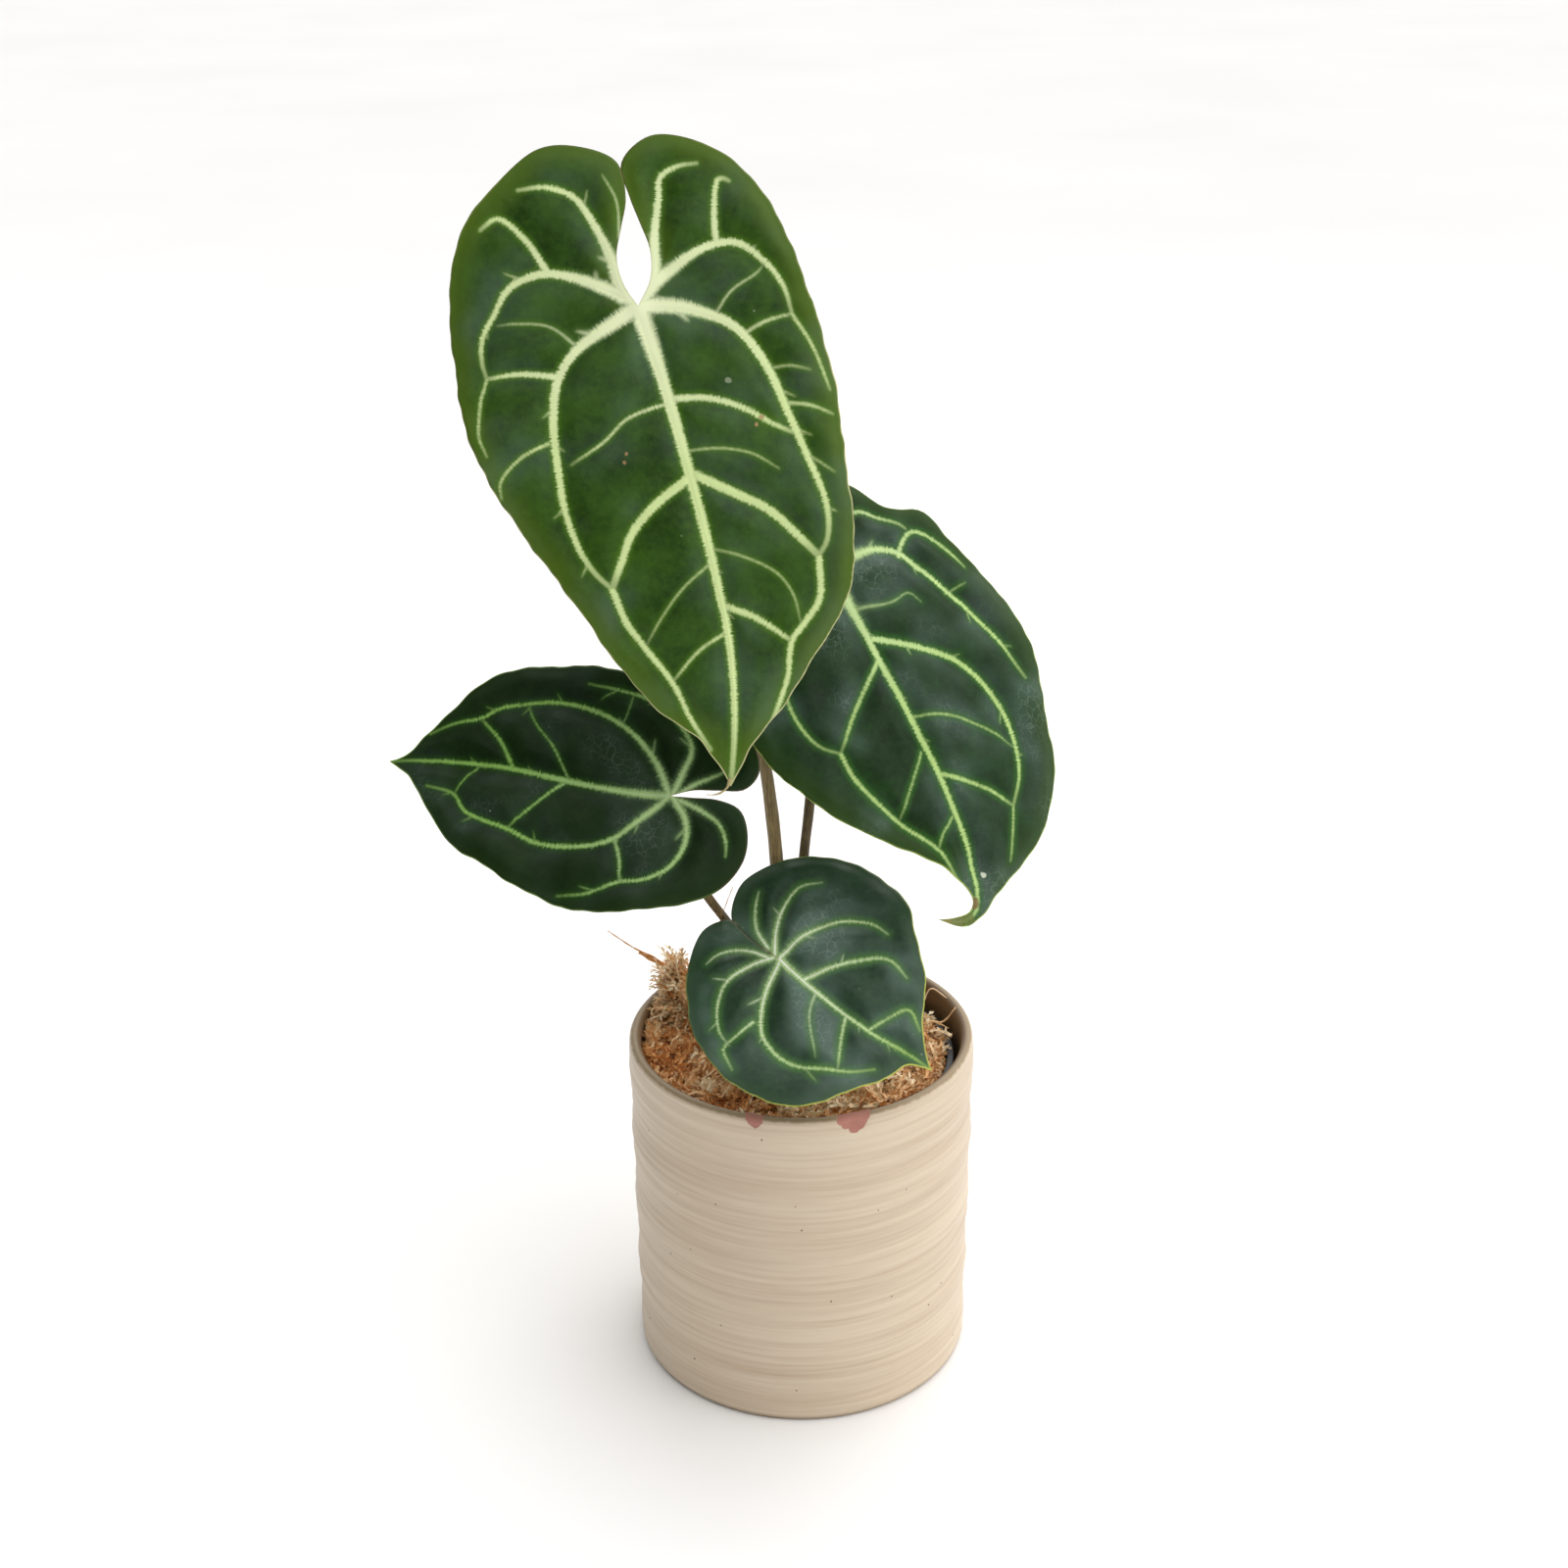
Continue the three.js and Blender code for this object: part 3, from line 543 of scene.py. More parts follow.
        # Crazed scratches about 3 mm apart where leaves have rubbed.
        bent = add(
            "TexNoise", {"Vector": flat, "W": self.seed + 5.0, "Scale": 0.3, "Detail": 3.0},
            noise_dimensions="4D",
        )
        warped = add(
            "VectorMath", [bent.node.outputs["Color"], (5.0, 5.0, 5.0), flat],
            operation="MULTIPLY_ADD",
        )
        web = add("TexVoronoi", {"Vector": warped, "Scale": 0.3}, feature="DISTANCE_TO_EDGE")
        line = add("MapRange", [web, 0.0, 0.06, 1.0, 0.0])
        patch = add("MapRange", [sheen_and_scuff_noise, 0.52, 0.66, 0.0, self.scuffs], **SMOOTH)
        scratch = add("Math", [line, patch], operation="MULTIPLY")
        scratched = add("Mix", [scratch, sheened, "9fb0a0"], **COLOUR)
        # One pale speck in about every 12 mm, a quarter of a millimetre across.
        cell = add(
            "TexVoronoi", {"Vector": flat, "W": self.seed, "Scale": 0.14}, voronoi_dimensions="4D"
        )
        speck = add("MapRange", [cell, 0.03, 0.07, 0.5, 0.0])
        return add("Mix", [speck, scratched, "a9b69a"], **COLOUR)

    def scarred(self, add: Adder, flat: NodeSocket, colour: NodeSocket) -> NodeSocket:
        """Lay the scars over everything else.

        Args:
            add: add_node for the material.
            flat: The flat place on the blade.
            colour: The colour beneath them.

        Returns:
            The scarred colour.
        """
        bent = add(
            "TexNoise", {"Vector": flat, "W": self.seed + 5.0, "Scale": 0.3, "Detail": 3.0},
            noise_dimensions="4D",
        )
        for mark in self.scars:
            gap = add("VectorMath", [flat, (*mark.place, 0.0)], operation="DISTANCE")
            torn = add("Math", [bent, 3.0, gap], operation="MULTIPLY_ADD")
            scar = add("MapRange", [torn, mark.radius + 1.3, mark.radius + 1.7, 0.8, 0.0])
            colour = add("Mix", [scar, colour, mark.colour], **COLOUR)
        return colour

    def make(self) -> Material:
        """Make the material.

        Returns:
            The material.
        """
        material, add, shader = self.begin()
        flat = self.reading(add, Reading.FLAT)
        drawn, near = self.vein_masks(add, flat)
        green = self.marks(add, flat, self.lamina(add, flat))
        glow = add("Math", [near, self.glow], operation="MULTIPLY")
        # Close to the joint the glow beside the veins turns from green to whitish.
        away = add("VectorMath", [flat], operation="LENGTH")
        whitish = add("MapRange", [away, 3.0, 34.0, self.joint_white, 0.0], **SMOOTH)
        glow_colour = add("Mix", [whitish, self.halo, "9fb78d"], **COLOUR)
        beside = add("Mix", [glow, green, glow_colour], **COLOUR)
        # The veins are yellowest at the joint, within about 40 mm of it.
        paleness = add("MapRange", [away, 4.0, 60.0])
        vein = add("Mix", [paleness, self.joint, self.vein], **COLOUR)
        # A whitish line runs down the middle of the main veins near the joint.
        thread = add(
            "MapRange", [self.reading(add, Reading.VEIN_MIDDLE), 0.15, 0.5, self.centre_line, 0.0]
        )
        fading = add("Math", [paleness, -1.0, 1.0], operation="MULTIPLY_ADD")
        threaded = add("Math", [thread, fading], operation="MULTIPLY")
        lined = add("Mix", [threaded, vein, "f0f4e6"], **COLOUR)
        veined = add("Mix", [drawn, beside, lined], **COLOUR)
        # A translucent line along the margin, 0.5 mm wide.
        margin = self.reading(add, Reading.MARGIN)
        rim = add("MapRange", [margin, 0.1, 0.7, 0.9, 0.0], **SMOOTH)
        sinus = self.reading(add, Reading.SINUS)
        axes = add("SeparateXYZ", [flat]).node.outputs
        tipward = add("MapRange", [axes["Y"], 0.0, 45.0, 0.3, 0.95])
        line = add("Math", [rim, tipward], operation="MULTIPLY")
        border = add("Mix", [sinus, self.border, "8a6a55"], **COLOUR)
        bordered = add("Mix", [line, veined, border], **COLOUR)
        skin = self.scarred(add, flat, bordered)
        plug(shader.inputs["Base Color"], skin)
        shader.inputs["Specular IOR Level"].default_value = self.specular
        # Skin cells 0.4 mm across break up the shine, as on a leathery leaf.
        cells = add(
            "TexNoise",
            {"Vector": flat, "W": self.seed, "Scale": 2.4, "Detail": 3.0, "Roughness": 0.7},
            noise_dimensions="4D",
        )
        raised = add("Bump", {"Strength": self.bump, "Distance": 0.12 * MM, "Height": cells})
        plug(shader.inputs["Normal"], raised)
        shine = add("MapRange", [cells, 0.3, 0.7, self.roughness - 0.07, self.roughness + 0.07])
        plug(shader.inputs["Roughness"], shine)
        return material


@dataclass(frozen=True)
class StalkFinish(Finish):
    """Ripe leaf stalk: brown bark-like skin streaked lengthwise, greener under the blade."""

    dark: str = "4b3a20"
    mid: str = "6c5833"
    light: str = "8d774b"
    green: str = "80854a"

    def make(self) -> Material:
        """Make the material.

        Returns:
            The material.
        """
        material, add, shader = self.begin()
        wrap = add("Attribute", out="Vector", attribute_name="wrap")
        rise = add("Attribute", out="Fac", attribute_name="rise")
        # Streaks 0.7 mm wide and some 18 mm long.
        stretched = add(
            "Mapping", {"Vector": wrap, "Scale": (1.4, 1.4, 0.055)}, vector_type="POINT"
        )
        streak = add(
            "TexNoise", {"Vector": stretched, "Scale": 1.0, "Detail": 4.0, "Roughness": 0.65}
        )
        # Each stalk is drawn lighter or darker as a whole: painted light on the tall blade's stalk,
        # painted shade on the right and left blades' stalks.
        shade = add("Attribute", out="Fac", attribute_name="shade")
        tone = add("Math", [streak, shade], operation="ADD")
        skin = add(
            "ValToRGB", {"Fac": tone},
            stops=((0.3, self.dark), (0.52, self.mid), (0.75, self.light)),
        )
        knee = add("MapRange", [rise, 0.82, 1.0, 0.0, 0.85], **SMOOTH)
        green = add("Mix", [knee, skin, self.green], **COLOUR)
        # Cork pores: dots 0.5 mm across in cells 4 mm wide.
        pores = add("TexVoronoi", {"Vector": wrap, "Scale": 0.28})
        dot = add("MapRange", [pores, 0.05, 0.12, 0.6, 0.0])
        dotted = add("Mix", [dot, green, "4c3d28"], **COLOUR)
        plug(shader.inputs["Base Color"], dotted)
        ridged = add("Bump", {"Strength": 0.5, "Distance": 0.25 * MM, "Height": streak})
        plug(shader.inputs["Normal"], ridged)
        return material


@dataclass(frozen=True)
class MossFinish(Finish):
    """Dried sphagnum: papery strands from peat brown through rust to straw, dull all over."""

    stops: tuple[tuple[float, str], ...] = (
        (0.0, "5a3416"), (0.25, "b26e38"), (0.5, "dd9f64"), (0.75, "efc696"), (1.0, "f8e4c2")
    )

    def make(self) -> Material:
        """Make the material.

        Returns:
            The material.
        """
        material, add, shader = self.begin()
        tone = add("Attribute", out="Fac", attribute_name="tone")
        spot = add("TexCoord", out="Object")
        # Mottling 1.5 mm across within each strand.
        mottle = add("TexNoise", {"Vector": spot, "Scale": 700.0, "Detail": 3.0})
        shade = add("Math", [mottle, 0.3, tone], operation="MULTIPLY_ADD")
        level = add("Math", [shade, 0.15], operation="SUBTRACT")
        ramp = add("ValToRGB", {"Fac": level}, stops=self.stops)
        plug(shader.inputs["Base Color"], ramp)
        fuzzy = add("Bump", {"Strength": 0.6, "Distance": 0.4 * MM, "Height": mottle})
        plug(shader.inputs["Normal"], fuzzy)
        shader.inputs["Specular IOR Level"].default_value = 0.2
        return material


@dataclass(frozen=True)
class Chip:
    """A place where the glaze has flaked off the rim, as circles of [x, z, radius]."""

    circles: tuple[Place, ...]


@dataclass(frozen=True)
class StonewareFinish(Finish):
    """Semi-matt beige glaze on thrown stoneware, brushed round, speckled by iron in the clay."""

    light: str = "d5c4ac"
    mid: str = "cbb8a0"
    dark: str = "bea78d"
    lip: str = "8a7452"
    inside: str = "7a6248"
    speck: str = "4a3828"
    bare_clay: str = "ae786a"
    chips: tuple[Chip, ...] = ()
    height: float = 140.0
    inner_radius: float = 66.0

    def chip_mask(self, add: Adder, spot: NodeSocket) -> NodeSocket:
        """Draw the chips' ragged outlines.

        Args:
            add: add_node for the material.
            spot: The place on the pot in millimetres.

        Returns:
            1 on bare clay and 0 on glaze.
        """
        ragged = add("TexNoise", {"Vector": spot, "Scale": 0.5, "Detail": 4.0})
        axes = add("SeparateXYZ", [spot]).node.outputs
        front = add("Math", [axes["Y"], 0.0], operation="LESS_THAN")
        flat = add("CombineXYZ", {"X": axes["X"], "Z": axes["Z"]})
        mask = None
        for x, z, radius in (circle for chip in self.chips for circle in chip.circles):
            away = add("VectorMath", [flat, (x, 0.0, z)], operation="DISTANCE")
            edge = add("Math", [ragged, 2.2, away], operation="MULTIPLY_ADD")
            inside = add("MapRange", [edge, radius + 1.0, radius + 1.25, 1.0, 0.0])
            if mask is None:
                mask = inside
            else:
                mask = add("Math", [mask, inside], operation="MAXIMUM")
        return add("Math", [mask, front], operation="MULTIPLY")

    def make(self) -> Material:
        """Make the material.

        Returns:
            The material.
        """
        material, add, shader = self.begin()
        place = add("TexCoord", out="Object")
        spot = add("Mapping", {"Vector": place, "Scale": (1000.0, 1000.0, 1000.0)})
        axes = add("SeparateXYZ", [spot]).node.outputs
        # Brush streaks: 1.8 mm high and some 70 mm round.
        thin = add(
            "Mapping",
            {"Vector": spot, "Scale": (0.014, 0.014, 0.55), "Rotation": (0.02, -0.015, 0.0)},
        )
        streak = add("TexNoise", {"Vector": thin, "Scale": 1.0, "Detail": 5.0, "Roughness": 0.6})
        # Throwing bands: 8 mm high and most of the way round.
        wide = add("Mapping", {"Vector": spot, "Scale": (0.008, 0.008, 0.12)})
        band = add("TexNoise", {"Vector": wide, "Scale": 1.0, "Detail": 3.0})
        blend = add("Math", [band, 0.7, streak], operation="MULTIPLY_ADD")
        glaze = add(
            "ValToRGB", {"Fac": blend},
            stops=((0.5, self.dark), (0.78, self.mid), (1.0, self.light)),
        )
        # Iron specks 0.4 mm across in cells 9 mm wide.
        iron = add("TexVoronoi", {"Vector": spot, "Scale": 0.11})
        dot = add("MapRange", [iron, 0.03, 0.055, 0.9, 0.0])
        speckled = add("Mix", [dot, glaze, self.speck], **COLOUR)
        # The glaze runs thin over the lip and shows the dark body.
        ragged = add("TexNoise", {"Vector": spot, "Scale": 0.35, "Detail": 3.0})
        lip_height = add("Math", [ragged, 1.2, axes["Z"]], operation="MULTIPLY_ADD")
        lip = add(
            "MapRange", [lip_height, self.height - 0.7, self.height + 0.3, 0.0, 0.85], **SMOOTH
        )
        lipped = add("Mix", [lip, speckled, self.lip], **COLOUR)
        level = add("CombineXYZ", {"X": axes["X"], "Y": axes["Y"]})
        radius = add("VectorMath", [level], operation="LENGTH")
        inner = add("MapRange", [radius, self.inner_radius - 1.2, self.inner_radius, 1.0, 0.0])
        above = add("Math", [axes["Z"], 4.0], operation="GREATER_THAN")
        inner_mask = add("Math", [inner, above], operation="MULTIPLY")
        lined = add("Mix", [inner_mask, lipped, self.inside], **COLOUR)
        # A darker line where the glaze was wiped back from the foot.
        foot = add("MapRange", [axes["Z"], 0.8, 3.5, 0.75, 0.0], **SMOOTH)
        footed = add("Mix", [foot, lined, "8d785a"], **COLOUR)
        chip = self.chip_mask(add, spot)
        chipped = add("Mix", [chip, footed, self.bare_clay], **COLOUR)
        plug(shader.inputs["Base Color"], chipped)
        # Bare clay is dull, and the glaze half matt.
        shine = add("MapRange", [chip, 0.0, 1.0, self.roughness, 0.9])
        plug(shader.inputs["Roughness"], shine)
        # Brush lines and pinholes stand a tenth of a millimetre proud of the glaze or in it.
        pits = add("TexNoise", {"Vector": spot, "Scale": 1.8, "Detail": 3.0})
        height = add("Math", [pits, 0.18, streak], operation="MULTIPLY_ADD")
        sunk = add("Math", [chip, -0.6, height], operation="MULTIPLY_ADD")
        relief = add("Bump", {"Strength": 0.3, "Distance": 0.4 * MM, "Height": sunk})
        plug(shader.inputs["Normal"], relief)
        return material


@dataclass(frozen=True)
class PlasticFinish(Finish):
    """Black polypropylene, moulded with a satin skin that shows dust and rub marks."""

    base: str = "17181a"
    worn: str = "35363a"

    def make(self) -> Material:
        """Make the material.

        Returns:
            The material.
        """
        material, add, shader = self.begin()
        spot = add("TexCoord", out="Object")
        # Rub marks some 15 mm long round the pot.
        around = add("Mapping", {"Vector": spot, "Scale": (70.0, 70.0, 600.0)})
        rub = add("TexNoise", {"Vector": around, "Scale": 1.0, "Detail": 5.0})
        skin = add("ValToRGB", {"Fac": rub}, stops=((0.45, self.base), (0.8, self.worn)))
        plug(shader.inputs["Base Color"], skin)
        # Spark-eroded mould texture, 0.3 mm across.
        grain = add("TexNoise", {"Vector": spot, "Scale": 3000.0, "Detail": 2.0})
        relief = add("Bump", {"Strength": 0.3, "Distance": 0.1 * MM, "Height": grain})
        plug(shader.inputs["Normal"], relief)
        return material


# Leaves


class Rank(Enum):
    """A vein's place in the network: start and end width, paleness and how deep it sinks."""

    MIDRIB = (4.1, 1.4, 1.0, 2.3)
    PRIMARY = (3.3, 1.3, 1.0, 2.3)
    BRANCH = (2.9, 2.0, 0.97, 2.0)
    BASAL = (3.2, 0.9, 0.97, 2.1)
    LATERAL = (2.0, 1.1, 0.92, 1.7)
    TWIG = (0.85, 0.45, 0.8, 0.8)
    FINE = (0.42, 0.25, 0.66, 0.4)
    SPUR = (0.45, 0.06, 0.7, 0.1)

    @property
    def start(self) -> float:
        """Width where the vein leaves its parent."""
        return self.value[0]

    @property
    def end(self) -> float:
        """Width at the vein's far end."""
        return self.value[1]

    @property
    def pale(self) -> float:
        """How strongly the vein is drawn, from 0 to 1."""
        return self.value[2]

    @property
    def depth(self) -> float:
        """How far the vein lies beneath the quilted lamina, in millimetres."""
        return self.value[3]


@dataclass(frozen=True)
class Vein:
    """One vein as a flat curve on the blade."""

    rank: Rank
    points: tuple[Flat, ...]


@dataclass(frozen=True)
class Flank:
    """One side of a blade: its margin from the joint round the lobe to the tip.

    lobe_end and waist are the places in the margin where the lobe's vein and the row through
    the joint meet it.
    """

    margin: tuple[Flat, ...]
    lobe_end: int
    waist: int
    lobe_vein: tuple[Flat, ...]


@dataclass(frozen=True)
class LeafForm:
    """The place, curvature, outline and veins of one blade, as in the CAD source."""

    joint: Place
    heading: float
    droop: float
    roll: float
    length: int
    bend: float
    sweep: float
    lobe: int
    lobe_bend: float
    camber: float
    fold: float
    wave: Place
    half_width: float
    midrib: tuple[Flat, ...]
    flanks: tuple[Flank, Flank]
    veins: tuple[Vein, ...]
    vein_scale: float = 1.0


class Sheet:
    """The curved surface of one blade."""

    def __init__(self, form: LeafForm) -> None:
        """Walk out the midrib's places and directions, one for each millimetre."""
        self.form = form
        heading = math.radians(form.heading)
        droop = math.radians(form.droop)
        level = Vector((math.cos(heading), math.sin(heading), 0))
        upright = Vector((0, 0, 1))
        along = level * math.cos(droop) - upright * math.sin(droop)
        up = level * math.sin(droop) + upright * math.cos(droop)
        turn = Matrix.Rotation(math.radians(form.roll), 3, along)
        across = turn @ up.cross(along)
        start = (Vector(form.joint), along, turn @ up, across)
        forward = self.walk(start, form.length, 1, form.bend, form.sweep)
        back = self.walk(start, form.lobe, -1, -form.lobe_bend, 0)
        stations = [*reversed(back), start, *forward]
        self.table = np.array([[list(part) for part in station] for station in stations])
        self.first = -form.lobe

    def walk(
        self,
        start: tuple[Vector, Vector, Vector, Vector],
        length: int,
        sign: int,
        bend: float,
        sweep: float,
    ) -> list[tuple[Vector, Vector, Vector, Vector]]:
        """Step away from the joint, turning a little at each millimetre.

        Args:
            start: The joint's place, and the directions along, up and across there.
            length: How many steps to take.
            sign: 1 towards the tip, -1 into the lobes.
            bend: Degrees that the midrib nods by over the whole way.
            sweep: Degrees that it veers sideways by over the whole way.

        Returns:
            Place, along, up and across at each step.
        """
        stations = []
        place, along, up, across = start
        for _ in range(length):
            nod = Matrix.Rotation(sign * math.radians(bend) / length, 3, across)
            along, up = nod @ along, nod @ up
            veer = Matrix.Rotation(sign * math.radians(sweep) / length, 3, up)
            along, across = veer @ along, veer @ across
            place = place + along * sign
            stations.append((place, along, up, across))
        return stations

    def at(self, flat: np.ndarray) -> tuple[np.ndarray, np.ndarray]:
        """Lift flat places onto the sheet.

        Args:
            flat: Rows of across and along.

        Returns:
            Rows of the place, and of the direction that the upper face looks in.
        """
        form = self.form
        x, y = flat[:, 0], flat[:, 1]
        last = len(self.table) - 1
        position = np.clip(y - self.first, 0, last)
        index = np.minimum(np.floor(position).astype(int), last - 1)
        share = (position - index)[:, None, None]
        rows = self.table[index] * (1 - share) + self.table[index + 1] * share
        place = rows[:, 0]
        directions = rows[:, 1:] / np.linalg.norm(rows[:, 1:], axis=2, keepdims=True)
        along, up, across = directions[:, 0], directions[:, 1], directions[:, 2]
        side = np.sign(x)
        distance = np.abs(x)
        fold = math.radians(form.fold)
        camber = math.radians(form.camber) / 100
        slope = fold - camber * distance
        reach = side * (math.sin(fold) - np.sin(slope)) / camber
        height, pitch, phase = form.wave
        ripple = np.sin(2 * math.pi * y / pitch + phase + side * 1.3)
        wave = height * (distance / form.half_width) ** 2 * ripple
        lift = (np.cos(slope) - math.cos(fold)) / camber + wave
        overshoot = y - self.first - position
        point = (place + along * overshoot[:, None] + across * reach[:, None] + up * lift[:, None])
        normal = up * np.cos(slope)[:, None] - across * (side * np.sin(slope))[:, None]
        return point, normal


@dataclass
class VeinReadings:
    """What a flat place reads from the veins near it."""

    edge: np.ndarray
    run: np.ndarray
    pale: np.ndarray
    middle: np.ndarray
    sunk: np.ndarray


class VeinNetwork:
    """All the veins of a blade as short straight runs that taper."""

    def __init__(self, form: LeafForm, seed: int, reach: float) -> None:
        """Lay out the veins, and the short spurs that stand off the largest."""
        self.reach = reach
        draw = np.random.default_rng(seed)
        rows: list[np.ndarray] = []
        offset = 0.0
        veins = [Vein(Rank.MIDRIB, form.midrib), *form.veins]
        for vein in [*veins, *self.spurs(veins, draw)]:
            curve = SmoothCurve(vein.points)
            length = curve.length()
            count = max(2, round(length / VEIN_STEP_MM))
            shares = np.linspace(0, 1, count + 1)
            trail = curve.between(0, curve.last, shares)
            width = vein.rank.start + (vein.rank.end - vein.rank.start) * shares**1.2
            half = width * form.vein_scale / 2
            pale = vein.rank.pale * (1 - 0.5 * smoothstep(shares, 0.8, 1.0))
            depth = vein.rank.depth * (1 - 0.6 * smoothstep(shares, 0.6, 1.0))
            ends = [trail[:-1], trail[1:]]
            for values in (half, pale, offset + length * shares, depth):
                ends += [values[:-1], values[1:]]
            rows.append(np.column_stack(ends))
            offset += length + VEIN_APART_MM
        self.runs = np.vstack(rows)

    def spurs(self, veins: Sequence[Vein], draw: np.random.Generator) -> list[Vein]:
        """Grow thorn-like spurs off the largest veins.

        Args:
            veins: The veins laid out so far.
            draw: The random draw.

        Returns:
            The spurs.
        """
        found = []
        for vein in veins:
            if vein.rank not in (Rank.MIDRIB, Rank.PRIMARY, Rank.BASAL):
                continue
            curve = SmoothCurve(vein.points)
            length = curve.length()
            # The first spur stands 12 to 20 mm along, and the others 9 to 29 mm apart.
            place = 12 + 8 * draw.random()
            while place < length - 10:
                shares = np.array([place - 1, place, place + 1]) / length
                back, here, ahead = curve.between(0, curve.last, shares)
                forward = (ahead - back) / np.linalg.norm(ahead - back)
                side = draw.choice([-1.0, 1.0])
                normal = np.array([-forward[1], forward[0]]) * side
                lean = 0.5 + 0.8 * draw.random()
                reach = (1.5 + 3.5 * draw.random()) * (0.6 if vein.rank is Rank.MIDRIB else 1)
                end = here + (normal + forward * lean) * reach
                found.append(Vein(Rank.SPUR, (tuple(here), tuple(end))))
                place += 9 + 20 * draw.random()
        return found

    def read(self, flat: np.ndarray) -> VeinReadings:
        """Find the nearest vein to each flat place.

        Args:
            flat: Rows of across and along.

        Returns:
            The readings of the nearest vein.
        """
        parts = [self.read_some(flat[i : i + 3000]) for i in range(0, len(flat), 3000)]
        return VeinReadings(*(np.concatenate(column) for column in zip(*parts)))

    def read_some(self, flat: np.ndarray) -> tuple[np.ndarray, ...]:
        """Read a few thousand places at once.

        Args:
            flat: Rows of across and along.

        Returns:
            The readings, in the order of VeinReadings.
        """
        start, end = self.runs[:, 0:2], self.runs[:, 2:4]
        step = end - start
        square = np.maximum((step**2).sum(1), 1e-9)
        away = flat[:, None, :] - start[None, :, :]
        share = np.clip((away * step[None]).sum(2) / square[None], 0, 1)
        gap = np.linalg.norm(away - share[:, :, None] * step[None], axis=2)
        half = self.runs[:, 4] * (1 - share) + self.runs[:, 5] * share
        edge = gap - half
        best = np.argmin(edge, axis=1)
        row = np.arange(len(flat))
        here = share[row, best]
        pale = self.runs[best, 6] * (1 - here) + self.runs[best, 7] * here
        run = self.runs[best, 8] * (1 - here) + self.runs[best, 9] * here
        depth = self.runs[:, 10] * (1 - share) + self.runs[:, 11] * share
        sunk = (depth * (1 - smoothstep(gap, 0, self.reach))).max(axis=1)
        return edge[row, best], run, pale, gap[row, best], sunk


